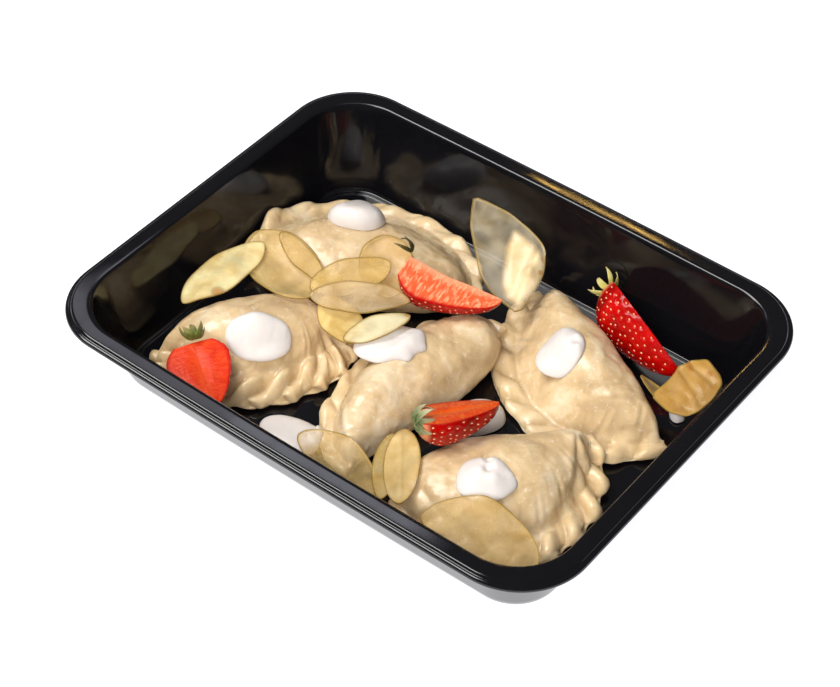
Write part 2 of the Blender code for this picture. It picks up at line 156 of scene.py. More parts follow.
def settle_in(piece, finish, slot, *nodes):
    """Gives a finished piece its material, its body and its slot, and hides the nodes it stands for."""
    piece.data.materials.clear()
    piece.data.materials.append(finish)
    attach(piece, BODY)
    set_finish(piece, slot)
    if nodes:
        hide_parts(*nodes)


def laid(*starts):
    """The finished pieces whose names begin in any of these ways."""
    finished = [piece for piece in bpy.data.objects if "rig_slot" in piece]
    chosen = [piece for piece in finished if piece.name.startswith(starts)]
    return sorted(chosen, key=lambda piece: piece.name)


def soften(piece, angle=None):
    """Shades a piece smooth, all over or where its faces meet at less than an angle in degrees."""
    pick(piece)
    if angle is None:
        bpy.ops.object.shade_smooth()
    else:
        bpy.ops.object.shade_smooth_by_angle(angle=math.radians(angle))


class Shape:
    """A piece's points in millimetres and their outward directions, as arrays to work on."""

    def __init__(self, piece):
        self.mesh = piece.data
        count = len(self.mesh.vertices)
        places = np.empty(count * 3)
        self.mesh.vertices.foreach_get("co", places)
        self.place = places.reshape(-1, 3) / MM
        self.feel()

    def feel(self):
        directions = np.empty(len(self.place) * 3)
        self.mesh.vertex_normals.foreach_get("vector", directions)
        self.out = directions.reshape(-1, 3)

    def push(self, amount):
        self.place += self.out * amount[:, None]

    def keep(self):
        self.mesh.vertices.foreach_set("co", (self.place * MM).ravel())
        self.mesh.update()
        self.feel()

    def note(self, name, values):
        """Stores one value a point, for a material to read."""
        attribute = self.mesh.attributes.new(name, "FLOAT", "POINT")
        attribute.data.foreach_set("value", np.asarray(values, np.float32))


class Bed:
    """What has been laid so far, felt from above to find how high it stands."""
    ABOVE_ALL = 0.06             # metres

    def __init__(self, pieces):
        self.trees = []
        for piece in pieces:
            self.add(piece)

    def add(self, piece):
        piece.data.calc_loop_triangles()
        points = [vert.co for vert in piece.data.vertices]
        corners = [triangle.vertices for triangle in piece.data.loop_triangles]
        self.trees.append(BVHTree.FromPolygons(points, corners))

    def heights(self, places):
        """Height in millimetres of the highest surface under each place."""
        found = np.zeros(len(places))
        down = Vector((0, 0, -1))
        for index, place in enumerate(places):
            start = Vector((place[0] * MM, place[1] * MM, self.ABOVE_ALL))
            hits = [tree.ray_cast(start, down)[0] for tree in self.trees]
            found[index] = max([hit.z / MM for hit in hits if hit] or [0.0])
        return found


def thin_plate(sites, values, slack):
    """A smooth surface through scattered heights; slack lets it pass between those that disagree."""
    def bend(first, second):
        gap = np.linalg.norm(first[:, None] - second[None], axis=2) + TINY
        return gap ** 2 * np.log(gap)

    def plane(at):
        return np.column_stack([np.ones(len(at)), at])

    count = len(sites)
    flat = plane(sites)
    system = np.zeros((count + 3, count + 3))
    system[:count, :count] = bend(sites, sites) + slack * np.eye(count)
    system[:count, count:] = flat
    system[count:, :count] = flat.T
    weights = np.linalg.solve(system, np.concatenate([values, np.zeros(3)]))
    return lambda at: bend(at, sites) @ weights[:count] + plane(at) @ weights[count:]


def smooth_step(low, high, values):
    """From 0 below low to 1 above high, with a soft start and end."""
    share = np.clip((values - low) / (high - low), 0, 1)
    return share * share * (3 - 2 * share)


def hump(values, centre, width):
    """1 at the centre, fading to nothing on both sides of it."""
    return np.exp(-((values - centre) / width) ** 2)


# ---------------------------------------------------------------- materials

class Finish:
    """A material built node by node on one Principled shader, read in Object coordinates."""

    def __init__(self, name, **sockets):
        self.material = bpy.data.materials.new(name)
        self.material.use_nodes = True
        self.tree = self.material.node_tree
        self.shader = next(node for node in self.tree.nodes if node.type == "BSDF_PRINCIPLED")
        self.where = self.add("ShaderNodeTexCoord").outputs["Object"]
        for socket, value in sockets.items():
            self.shader.inputs[socket.replace("_", " ")].default_value = value

    def add(self, kind, **settings):
        node = self.tree.nodes.new(kind)
        for key, value in settings.items():
            setattr(node, key, value)
        return node

    def feed(self, node, socket, value):
        """Sets a socket to a number or colour, or joins it to another node's output."""
        if isinstance(value, bpy.types.NodeSocket):
            self.tree.links.new(value, node.inputs[socket])
        elif isinstance(value, tuple) and len(value) == 3 and node.inputs[socket].type == "RGBA":
            node.inputs[socket].default_value = (*value, 1)
        else:
            node.inputs[socket].default_value = value

    def to(self, socket, value):
        self.feed(self.shader, socket, value)

    def noise(self, grain, detail=3.0, rough=0.5, distortion=0.0, where=None):
        """Cloudy pattern with features of about grain millimetres."""
        node = self.add("ShaderNodeTexNoise")
        self.feed(node, "Vector", where or self.where)
        node.inputs["Scale"].default_value = 1 / (grain * MM)
        node.inputs["Detail"].default_value = detail
        node.inputs["Roughness"].default_value = rough
        node.inputs["Distortion"].default_value = distortion
        return node.outputs["Fac"]

    def value(self, name):
        """One of the values that Shape.note has stored on the piece."""
        return self.add("ShaderNodeAttribute", attribute_name=name).outputs["Fac"]

    def joined(self, first, second, third=0.0):
        """Three values, or outputs, as one place to read a pattern at, in metres."""
        node = self.add("ShaderNodeCombineXYZ")
        for index, value in enumerate((first, second, third)):
            self.feed(node, index, value)
        return node.outputs["Vector"]

    def reckon(self, operation, first, second):
        node = self.add("ShaderNodeMath", operation=operation)
        self.feed(node, 0, first)
        self.feed(node, 1, second)
        return node.outputs[0]

    def spread(self, source, low, high, to_low=0.0, to_high=1.0):
        """A value eased from one end of a range to the other."""
        node = self.add("ShaderNodeMapRange", interpolation_type="SMOOTHSTEP")
        self.feed(node, "Value", source)
        ends = {"From Min": low, "From Max": high, "To Min": to_low, "To Max": to_high}
        for socket, value in ends.items():
            node.inputs[socket].default_value = value
        return node.outputs["Result"]

    def blend(self, share, first, second):
        """The first colour where the share is 0, the second where it is 1."""
        node = self.add("ShaderNodeMix", data_type="RGBA")
        for index, value in ((0, share), (6, first), (7, second)):
            self.feed(node, index, value)
        return node.outputs[2]

    def tinted(self, under, colour, where, strength):
        """A colour laid over another where a value is high, never stronger than strength."""
        return self.blend(self.reckon("MULTIPLY", where, strength), under, colour)

    def ramp(self, source, *stops):
        """Colours placed along a pattern, as (position, colour) pairs."""
        node = self.add("ShaderNodeValToRGB")
        self.feed(node, "Fac", source)
        elements = node.color_ramp.elements
        while len(elements) < len(stops):
            elements.new(0.5)
        for element, (position, colour) in zip(elements, stops):
            element.position = position
            element.color = (*colour, 1)
        return node.outputs["Color"]

    def bump(self, height, depth, after=None):
        """Relief of a pattern, depth millimetres deep; after is a relief that it adds to."""
        node = self.add("ShaderNodeBump")
        self.feed(node, "Height", height)
        node.inputs["Distance"].default_value = depth * MM
        if after is not None:
            self.feed(node, "Normal", after)
        return node.outputs["Normal"]


# ---------------------------------------------------------------- settings

def colour_setting(name, description, default):
    return bpy.props.FloatVectorProperty(name=name, description=description, subtype="COLOR", size=3,
                                         default=default, min=0, max=1)


class TraySettings(bpy.types.PropertyGroup):
    colour: colour_setting("Plastic", "Colour of the moulded plastic", (0.003, 0.003, 0.004))
    roughness: bpy.props.FloatProperty(
        name="Roughness", description="How blurred the plastic's reflections are", default=0.07,
        min=0, max=1)


class DoughSettings(bpy.types.PropertyGroup):
    colour: colour_setting("Dough", "Colour of the boiled dough", (0.63, 0.455, 0.25))
    shade: colour_setting("Shade", "Colour of the dough where the filling shows through", (0.49, 0.34, 0.18))
    pale: colour_setting("Pale", "Colour of the dry, floury places", (0.75, 0.61, 0.41))
    crimp: bpy.props.FloatProperty(
        name="Crimp", description="How strongly the sealed edge is pleated", default=1.0, min=0, max=2)


class CreamSettings(bpy.types.PropertyGroup):
    colour: colour_setting("Cream", "Colour of the soured cream", (0.745, 0.69, 0.65))


class FruitSettings(bpy.types.PropertyGroup):
    colour: colour_setting("Fruit", "Colour of the dried slices", (0.82, 0.56, 0.20))
    peel: colour_setting("Peel", "Colour of the thin peel round a slice", (0.26, 0.16, 0.035))
    clearness: bpy.props.FloatProperty(
        name="Clearness", description="How much shows through a slice", default=0.68, min=0, max=1)


class BerrySettings(bpy.types.PropertyGroup):
    skin: colour_setting("Skin", "Colour of the ripe skin", (0.42, 0.0015, 0.001))
    seed_spacing: bpy.props.FloatProperty(
        name="Seed spacing", description="Distance between seeds on the skin", subtype="DISTANCE",
        unit="LENGTH", default=0.0031, min=0.002, max=0.006)


class StageSettings(bpy.types.PropertyGroup):
    lens: bpy.props.FloatProperty(
        name="Lens", description="Focal length of the camera in millimetres", default=95.92,
        min=20, max=300)
    key: bpy.props.FloatProperty(
        name="Key light", description="Power of the main soft light", subtype="POWER", unit="POWER",
        default=18.8, min=0)
    fill: bpy.props.FloatProperty(
        name="Fill light", description="Power of the soft light opposite", subtype="POWER", unit="POWER",
        default=23.0, min=0)
    sky: bpy.props.FloatProperty(
        name="Surround", description="Strength of the light from all round", default=0.10, min=0)


# ---------------------------------------------------------------- tray

def tray_finish(settings):
    """Glossy plastic, shinier on the outer walls, which lean out and so face down."""
    finish = Finish("glossy_black_plastic")
    finish.to("Base Color", finish.blend(finish.noise(30, 2), tuple(settings.colour),
                                         tuple(1.6 * part for part in settings.colour)))
    facing = finish.add("ShaderNodeSeparateXYZ")
    finish.feed(facing, 0, finish.add("ShaderNodeNewGeometry").outputs["Normal"])
    finish.to("IOR", finish.spread(facing.outputs["Z"], -0.1, -0.25, 1.5, 2.3))
    smears = finish.noise(22, 4, 0.6, 0.8)
    finish.to("Roughness", finish.spread(smears, 0.35, 0.75, settings.roughness, settings.roughness + 0.09))
    waves = finish.bump(finish.noise(38, 1), 0.25)
    finish.to("Normal", finish.bump(finish.noise(0.6, 2), 0.004, after=waves))
    return finish.material


# The tray, in millimetres. An inset is measured inwards from the lip's outer edge.
TRAY_LENGTH, TRAY_WIDTH, TRAY_HEIGHT = 227.0, 178.0, 36.0
SHEET = 0.95                     # thickness of the formed plastic
RIM_CORNER = 27.5                # radius of the lip's corners
CORNER_LOSS = 0.55               # share of an inset that a corner's radius loses
SIDE_BOW = 0.9                   # how far the long sides bow outwards
FLANGE_INSET, FLOOR_INSET = 8.2, 20.0
END_WALL_STEEPER = 0.8           # the end walls lean by this share of the side walls
LIP_DROP, LEDGE_DROP = 2.5, 0.9
BEAD = 0.45                      # height of the moulded line round the floor
SECTION_EASE = 0.3               # radius that rounds off the section's corners
CORNER_POINTS, SIDE_POINTS, END_POINTS = 26, 12, 8


def tray_section():
    """The tray's wall as (inset, height) points, from the floor up over the rim and down underneath."""
    top, foot = TRAY_HEIGHT, FLOOR_INSET
    lean = (FLOOR_INSET - FLANGE_INSET) / (top - SHEET)
    ledge, skirt, wall = top - LEDGE_DROP, top - LIP_DROP, SHEET * 1.05
    inside = [
        (foot + 6.0, SHEET), (foot + 4.2, SHEET), (foot + 2.6, SHEET), (foot + 2.1, SHEET + BEAD),
        (foot + 1.6, SHEET), (foot + 0.5, SHEET + 0.02), (foot + 0.05, SHEET + 0.38),
        (foot - 0.4, SHEET + 1.1), (foot - 1.5, SHEET + 4.0), (FLANGE_INSET + lean * 2.4, top - 2.4),
        (FLANGE_INSET + 0.2, top - 0.7), (FLANGE_INSET - 0.5, top - 0.12), (FLANGE_INSET - 1.4, top),
    ]
    rim = [
        (2.6, top), (2.05, top - 0.15), (1.7, ledge + 0.1), (0.75, ledge),
        (0.2, ledge - 0.35), (0.0, ledge - 0.95), (0.0, skirt), (SHEET * 0.9, skirt),
    ]
    under = [
        (SHEET, ledge - SHEET), (2.4, ledge - SHEET), (2.9, top - SHEET), (FLANGE_INSET - 1.5, top - SHEET),
        (FLANGE_INSET - 0.8, top - SHEET - 0.9), (foot - 1.5 - wall, SHEET + 3.0),
        (foot - 1.2, SHEET + 0.3), (foot + 0.1, 0.25), (foot + 1.6, 0.0), (foot + 3.5, 0.0),
    ]
    return inside + rim + under


def eased(section, radius, steps=3, most=0.42):
    """The section with each of its corners rounded off, over at most a share of the lines beside it."""
    points = np.array(section)
    line = [points[0]]
    for before, corner, after in zip(points, points[1:], points[2:]):
        back, ahead = before - corner, after - corner
        near = min(radius, most * np.linalg.norm(back), most * np.linalg.norm(ahead))
        start = corner + back / np.linalg.norm(back) * near
        end = corner + ahead / np.linalg.norm(ahead) * near
        for step in range(steps + 1):
            share = step / steps
            line.append((1 - share) ** 2 * start + 2 * share * (1 - share) * corner + share ** 2 * end)
    return np.array(line + [points[-1]])


def tray_outline(inset):
    """One ring of the tray: a rounded rectangle at an inset from the lip, its long sides slightly bowed."""
    half_x = TRAY_LENGTH / 2 - min(inset, FLANGE_INSET) - max(0.0, inset - FLANGE_INSET) * END_WALL_STEEPER
    half_y = TRAY_WIDTH / 2 - inset
    radius = RIM_CORNER - CORNER_LOSS * inset
    points = []
    for corner, (side_x, side_y) in enumerate(((1, 1), (-1, 1), (-1, -1), (1, -1))):
        turn = math.pi / 2 * (corner + np.linspace(0, 1, CORNER_POINTS))
        points.extend(zip(side_x * (half_x - radius) + radius * np.cos(turn),
                          side_y * (half_y - radius) + radius * np.sin(turn)))
        count = SIDE_POINTS if corner % 2 == 0 else END_POINTS
        for share in np.linspace(1, -1, count + 2)[1:-1]:
            if corner % 2 == 0:
                points.append((side_x * share * (half_x - radius), side_y * half_y))
            else:
                points.append((side_x * half_x, side_y * share * (half_y - radius)))
    points = np.array(points)
    bow = SIDE_BOW * np.cos(math.pi * points[:, 0] / (2 * half_x))
    points[:, 1] += np.copysign(bow, points[:, 1]) * (np.abs(points[:, 1]) > half_y * 0.5)
    return points


class PIEROGI_OT_tray(bpy.types.Operator):
    """Models the black plastic tray, from a grid wrapped round its outline"""
    bl_idname = "pierogi.tray"
    bl_label = "Tray"

    def execute(self, context):
        section = eased(tray_section(), SECTION_EASE)
        around, up = len(tray_outline(0.0)), len(section) - 1
        deselect()
        bpy.ops.mesh.primitive_grid_add(x_subdivisions=around, y_subdivisions=up, size=2.0)
        tray = named("tray_shell")
        shape = Shape(tray)
        column = np.rint((shape.place[:, 0] * MM + 1) / 2 * around).astype(int) % around
        row = np.rint((shape.place[:, 1] * MM + 1) / 2 * up).astype(int)
        rings = np.array([tray_outline(inset) for inset, _ in section])
        shape.place = np.column_stack([rings[row, column], section[row, 1]])
        shape.keep()
        bpy.ops.object.mode_set(mode="EDIT")
        bpy.ops.mesh.select_all(action="SELECT")
        bpy.ops.mesh.remove_doubles(threshold=SAME_POINT)
        bpy.ops.mesh.fill_holes(sides=0)
        bpy.ops.mesh.select_all(action="SELECT")
        bpy.ops.mesh.normals_make_consistent(inside=False)
        bpy.ops.object.mode_set(mode="OBJECT")
        soften(tray, angle=50)
        settle_in(tray, tray_finish(context.scene.pierogi_tray), "tray", "tray")
        return {"FINISHED"}


# ---------------------------------------------------------------- pierogi

# The sealed edge of each dumpling, in millimetres. It runs from start to end round a curve that stands
# off their line by arc, fuller where roundness is low, and leans to one end by skew. It carries so many
# pleats in a band of this width and height, which slant across it and overlap one another. Behind the
# band are a crease and fine wrinkles.
SEAMS = {
    "pierogi_1": dict(start=(-91, -1), end=(-7, 44), arc=47.5, roundness=0.95, skew=-0.06, pleats=9,
                      width=6.0, height=0.9, slant=0.5, overlap=1.1, crease=0.3, wrinkle=0.7),
    "pierogi_2": dict(start=(-30, -6), end=(-88, -57), arc=28.5, roundness=1.0, skew=0.05, pleats=9,
                      width=10.5, height=3.4, slant=1.25, overlap=1.9, crease=0.9, wrinkle=0.9),
    "pierogi_3": dict(start=(93, 23.5), end=(7, 62), arc=41.5, roundness=1.05, skew=-0.1, pleats=9,
                      width=8.5, height=1.5, slant=0.5, overlap=1.3, crease=0.6, wrinkle=1.3),
    "pierogi_4": dict(start=(7.5, -59), end=(11.5, 34), arc=33.5, roundness=0.85, skew=0.06, pleats=8,
                      width=6.5, height=1.5, slant=0.5, overlap=1.2, crease=0.7, wrinkle=0.9),
    "pierogi_5": dict(start=(69.5, 9), end=(29, -60), arc=44, roundness=0.95, skew=0.1, pleats=9,
                      width=9.0, height=2.8, slant=0.7, overlap=1.7, crease=1.1, wrinkle=0.7),
}

SEAM_STEPS = 361
SEAM_FADE = 0.08                        # share of the seam over which the pleats fade at each end
# Where the pleats begin and end to fade, and the middle and reach of the crease and of the fine wrinkles,
# as shares of the band's width.
PLEATS_FADE, PLEATS_END = 0.65, 1.15
CREASE_AT, CREASE_REACH = 1.05, 0.16
WRINKLES_AT, WRINKLES_REACH = 1.45, 0.45
WRINKLE_HEIGHT = 0.2                    # millimetres, where a seam's wrinkle is 1
DOUGH_LUMPS = ((14, 1.5), (6, 0.4))     # size and height of the filling's swellings
DOUGH_CLEAR = 0.12                      # how far the dough stays off the floor
DOUGH_LEVELS = 3


def seam_places(shape, seam):
    """How far round the sealed edge each point lies, from 0 to 1, and how far from it in millimetres."""
    start, end = np.array(seam["start"], float), np.array(seam["end"], float)
    middle, half = (start + end) / 2, np.linalg.norm(end - start) / 2
    along = (end - start) / (2 * half)
    across = np.array([-along[1], along[0]])
    turn = np.linspace(0, math.pi, SEAM_STEPS)
    reach = -np.cos(turn)
    stand = seam["arc"] * np.sin(turn).clip(0) ** seam["roundness"] * (1 + seam["skew"] * reach)
    line = middle + reach[:, None] * half * along + stand[:, None] * across
    gap = np.linalg.norm(shape.place[:, None, :2] - line[None], axis=2)
    nearest = gap.argmin(axis=1)
    return turn[nearest] / math.pi, gap[np.arange(len(gap)), nearest]


def crimp(piece, seam, strength):
    """Presses rounded pleats, the grooves between them and the crease behind them into a sealed edge."""
    shape = Shape(piece)
    round_edge, inward = seam_places(shape, seam)
    width = seam["width"]
    upward = smooth_step(-0.5, 0.25, shape.out[:, 2])
    ends = smooth_step(0.0, SEAM_FADE, round_edge) * smooth_step(0.0, SEAM_FADE, 1 - round_edge)
    band = (1 - smooth_step(PLEATS_FADE * width, PLEATS_END * width, inward)) * ends * upward
    phase = round_edge * (seam["pleats"] + 2 / 3) + seam["slant"] * inward / width
    lobe = np.sin(math.pi * (phase % 1) ** seam["overlap"]) ** 0.7
    shape.push(strength * seam["height"] * (lobe - 0.55) * band)
    shape.push(-seam["crease"] * hump(inward, CREASE_AT * width, CREASE_REACH * width) * ends * upward)
    ray = np.sin(2 * math.pi * (1.5 * phase + 0.3 * np.sin(5 * phase)))
    fade = hump(inward, WRINKLES_AT * width, WRINKLES_REACH * width) * ends * upward
    shape.push(WRINKLE_HEIGHT * seam["wrinkle"] * ray * fade)
    shape.keep()
    # The pleats' ridges and their band, stored for the dough's painted highlight on the ridges and painted
    # shade in the grooves.
    shape.note("crimp", band * lobe)
    shape.note("edge", band)


def dough_finish(settings):
    """Moist dough, mottled and flecked; the pleats' ridges are paler, partly their own yellower dough and
    partly a painted highlight, and painted shade darkens the grooves between them.
    """
    finish = Finish("boiled_dough", IOR=1.42, Subsurface_Weight=0.22, Subsurface_Scale=0.004,
                    Coat_Weight=0.45, Coat_Roughness=0.17)
    finish.shader.inputs["Subsurface Radius"].default_value = (1.0, 0.6, 0.3)
    mottle = finish.noise(15, 4, 0.55, 0.8)
    body = finish.ramp(mottle, (0.30, tuple(settings.shade)), (0.5, tuple(settings.colour)),
                       (0.70, tuple(settings.pale)))
    ochre = finish.spread(finish.noise(9, 3, 0.6, 1.2), 0.54, 0.72)
    body = finish.tinted(body, (0.60, 0.39, 0.18), ochre, 0.25)
    flecks = finish.spread(finish.noise(2.2, 4, 0.65), 0.56, 0.72)
    body = finish.tinted(body, (0.90, 0.80, 0.64), flecks, 0.4)
    # The raised pleats are painted paler and yellower: partly the sealed edge's own colour, partly a painted
    # highlight.
    ridge = finish.value("crimp")
    body = finish.tinted(body, (0.86, 0.66, 0.38), ridge, 0.5)
    # Painted shade: the dough is darkened in the grooves between the pleats, where shade falls.
    groove_shade = finish.spread(finish.reckon("SUBTRACT", finish.value("edge"), ridge), 0.35, 0.95)
    body = finish.tinted(body, (0.48, 0.31, 0.13), groove_shade, 0.45)
    finish.to("Base Color", body)
    finish.to("Roughness", finish.spread(finish.noise(6, 3), 0.35, 0.7, 0.26, 0.46))
    skin = finish.bump(finish.noise(6.5, 1.5, 0.45, 0.3), 1.0)
    wrinkles = finish.bump(finish.noise(2.4, 2, 0.5, 0.2), 0.08, after=skin)
    finish.to("Normal", finish.bump(finish.noise(0.8, 2, 0.5), 0.02, after=wrinkles))
    return finish.material


class PIEROGI_OT_dumplings(bpy.types.Operator):
    """Sculpts the five pierogi, with their crimped edges"""
    bl_idname = "pierogi.dumplings"
    bl_label = "Pierogi"

    def execute(self, context):
        settings = context.scene.pierogi_dough
        dough = dough_finish(settings)
        for node, seam in SEAMS.items():
            piece = working_copy(node, f"{node}_dough")
            refine_in_place(piece, DOUGH_LEVELS)
            crimp(piece, seam, settings.crimp)
            for size, height in DOUGH_LUMPS:
                lumps(piece, size, height)
            shape = Shape(piece)
            shape.place[:, 2] = shape.place[:, 2].clip(SHEET + DOUGH_CLEAR)
            shape.keep()
            soften(piece)
            settle_in(piece, dough, "dough", node)
        return {"FINISHED"}


# ---------------------------------------------------------------- cream

CREAM_CLEAR = 0.05               # millimetres between cream and what it lies on
CREAM_SLACK = 60.0               # how loosely a spoonful follows what lies under it
CREAM_LUMPS = (7, 0.35)          # size and height of its unevenness
THINNEST_CREAM = 0.05
OUTLINE_WAVER = 0.025            # unevenness of an outline, as a share of its size
# Each spoonful, in millimetres: its centre, its half sizes, which way its long side points, how thick it
# lies, the bulges of its outline (direction, how far as a share, how wide) and the marks left on its top
# (place, reach and height; a dent is negative). Its underside hangs no lower than least.
SPOONFULS = {
    "cream_1": dict(centre=(-66, 39.5), size=(11.5, 11.5), heading=0.64, thick=9.4,
                    bulges=[(-1.0, 0.10, 0.6), (-2.1, -0.08, 0.4), (1.9, 0.04, 0.8)],
                    marks=[(-66, 38, 4.0, -0.4)]),
    "cream_2": dict(centre=(-51.9, -35.2), size=(12.0, 8.7), heading=0.62, thick=4.0,
                    bulges=[(2.6, 0.07, 0.8), (-0.9, -0.06, 0.6), (0.6, 0.06, 0.4)],
                    marks=[(-47, -31, 3.0, -0.3), (-56, -39, 3.0, 0.3)]),
    "cream_3": dict(centre=(-8.4, -12.0), size=(13.5, 9.0), heading=0.85, thick=3.6,
                    bulges=[(-1.25, 0.20, 0.18), (-0.6, 0.10, 0.2), (-2.0, 0.08, 0.35), (0.4, 0.06, 0.3)],
                    marks=[(-6, -10, 3.0, -0.3)], least=22.5),
    "cream_4": dict(centre=(40.8, 27.6), size=(8.8, 10.2), heading=0.25, thick=3.8,
                    bulges=[(2.2, 0.03, 0.7)],
                    marks=[(44.5, 31, 1.8, -1.0), (47.0, 29, 1.6, 0.7), (43.5, 34.5, 1.8, 0.6)]),
    "cream_5": dict(centre=(57, -41), size=(10.2, 8.6), heading=0.3, thick=3.6,
                    bulges=[(0.3, 0.12, 0.35), (1.35, 0.10, 0.3), (1.85, -0.16, 0.12), (2.5, 0.06, 0.3),
                            (-2.2, 0.1, 0.5)],
                    marks=[(56.5, -38.5, 1.7, -1.9), (54.5, -35.5, 1.4, -1.3), (53, -42, 2.6, 0.7),
                           (61, -41, 2.4, 0.7), (57, -46, 2.5, 0.4)]),
    "cream_6": dict(centre=(-20.2, -55), size=(12.6, 8.6), heading=0.1, thick=3.2,
                    bulges=[(2.8, 0.06, 0.7)], marks=[(-24, -54, 3.0, -0.3)]),
    "cream_7": dict(centre=(28.4, -6.9), size=(10.8, 7.2), heading=0.9, thick=9.0,
                    bulges=[(0.5, 0.08, 0.5)], marks=[(33, -4, 3.0, -0.6)]),
    "cream_8": dict(centre=(84, 42.5), size=(4.8, 2.7), heading=2.2, thick=3.2,
                    bulges=[(0.5, 0.25, 0.4), (-2.0, 0.2, 0.4)], marks=[]),
}


def spoonful(node, bed, centre, size, heading, thick, bulges, marks, least=0.0):
    """A spoonful of cream: a ball flattened to its outline and let down on what lies below."""
    deselect()
    bpy.ops.mesh.primitive_uv_sphere_add(segments=96, ring_count=48, radius=1.0)
    piece = named(f"{node}_spoonful")
    shape = Shape(piece)
    ball = shape.place * MM
    turn = np.arctan2(ball[:, 1], ball[:, 0])
    out = np.hypot(ball[:, 0], ball[:, 1]).clip(0, 1)
    stretch = 1 + OUTLINE_WAVER * np.sin(3 * turn + centre[0])
    for direction, amount, width in bulges:
        gap = (turn - direction + math.pi) % (2 * math.pi) - math.pi
        stretch += amount * hump(gap, 0, width)
    swell = 1 + (stretch - 1) * out ** 2
    u = size[0] * out * np.cos(turn) * swell
    v = size[1] * out * np.sin(turn) * swell
    x = centre[0] + u * math.cos(heading) - v * math.sin(heading)
    y = centre[1] + u * math.sin(heading) + v * math.cos(heading)
    places = np.column_stack([x, y])
    below = bed.heights(places).clip(max(least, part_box(node)[0].z / MM))
    draped = thin_plate(places[::9], below[::9], CREAM_SLACK)
    rest = np.maximum(draped(places), below) + CREAM_CLEAR
    dome = thick * (1 - out ** 3.2).clip(0) ** 0.5 * (0.82 + 0.18 * np.cos(math.pi * out / 2))
    for mark_x, mark_y, reach, height in marks:
        dome += height * np.exp(-((x - mark_x) ** 2 + (y - mark_y) ** 2) / reach ** 2) * (1 - out ** 4)
    top = ball[:, 2] >= -TINY
    shape.place = np.column_stack([x, y, np.where(top, rest + dome.clip(THINNEST_CREAM), rest)])
    shape.keep()
    return piece


def cream_finish(settings):
    """Soft, slightly see-through cream."""
    finish = Finish("soured_cream", IOR=1.4, Subsurface_Weight=0.3, Subsurface_Scale=0.002,
                    Roughness=0.33)
    finish.shader.inputs["Subsurface Radius"].default_value = (1.0, 0.8, 0.6)
    thin = tuple(0.95 * part for part in settings.colour)
    finish.to("Base Color", finish.ramp(finish.noise(9, 2), (0.35, thin), (0.65, tuple(settings.colour))))
    finish.to("Normal", finish.bump(finish.noise(3.5, 2), 0.12))
    return finish.material


class PIEROGI_OT_cream(bpy.types.Operator):
    """Sculpts the spoonfuls of soured cream"""
    bl_idname = "pierogi.cream"
    bl_label = "Cream"

    def execute(self, context):
        cream = cream_finish(context.scene.pierogi_cream)
        bed = Bed(laid("tray_shell", "pierogi_"))
        for node, sizes in SPOONFULS.items():
            piece = spoonful(node, bed, **sizes)
            lumps(piece, *CREAM_LUMPS)
            soften(piece)
            settle_in(piece, cream, "cream", node)
        return {"FINISHED"}


# ---------------------------------------------------------------- dried fruit

SLICE_SHEET = 0.45               # thickness of a slice, in millimetres
SLICE_CLEAR = 0.15               # how far a slice is lifted off what it lies on
SLICE_SLACK = 30.0               # how loosely a slice follows its solid
TALLEST_LIFT = 6.0               # a place further down than this is beside a slice, not under it
EDGE_CURL, CURL_REACH = 0.35, 2.5
TIP_ROUNDING = 0.62              # 0.5 makes an oval, and more makes its ends pointed
# Each slice that lies down, in millimetres: centre, length, width and heading; bow curves it sideways,
# folds are ridges (from, to, width and height, on its own plane) and spots are browned places (place and
# reach).
LAID_SLICES = {
    "left_1": dict(centre=(-70.0, -1.0), length=44.5, width=27, heading=-0.40, spots=[(-9, -9, 3.2)]),
    "left_2": dict(centre=(-84.5, -18.5), length=41.5, width=18.5, heading=1.45,
                   folds=[(-17, -4, 4, -1, 4.0, 1.2)], spots=[(-9, -7, 3.0)]),
    "left_3": dict(centre=(-65.0, 4.8), length=33, width=9.5, heading=-0.36),
    "middle_1": dict(centre=(-38.0, 23.0), length=30.5, width=21.5, heading=-0.82),
    "middle_2": dict(centre=(-43.0, 7.5), length=34, width=19, heading=1.15,
                     folds=[(-12, 2, 12, 2, 3.5, 0.6)]),
    "middle_3": dict(centre=(-30.5, -13.5), length=27.5, width=15.5, heading=-0.40),
    "middle_4": dict(centre=(-15.2, -11.2), length=27, width=12.5, heading=1.10, spots=[(13.0, 0.5, 1.7)]),
    "middle_5": dict(centre=(-30.6, -2.4), length=38, width=19, heading=0.54),
    "right_1": dict(centre=(78.0, 38.0), length=18, width=6, heading=-0.15),
    "front_1": dict(centre=(7.0, -61.8), length=43, width=17, heading=-0.20, bow=2),
    "front_2": dict(centre=(21.8, -51.8), length=32, width=10, heading=-1.05),
    "front_3": dict(centre=(27.6, -50.5), length=36, width=13.5, heading=-0.96,
                    folds=[(-14, -1.2, 13, 0.4, 0.7, 0.25)]),
    "front_4": dict(centre=(70.0, -61.0), length=43.5, width=25, heading=0.27, bow=2,
                    spots=[(-12, -9, 3.6)]),
}
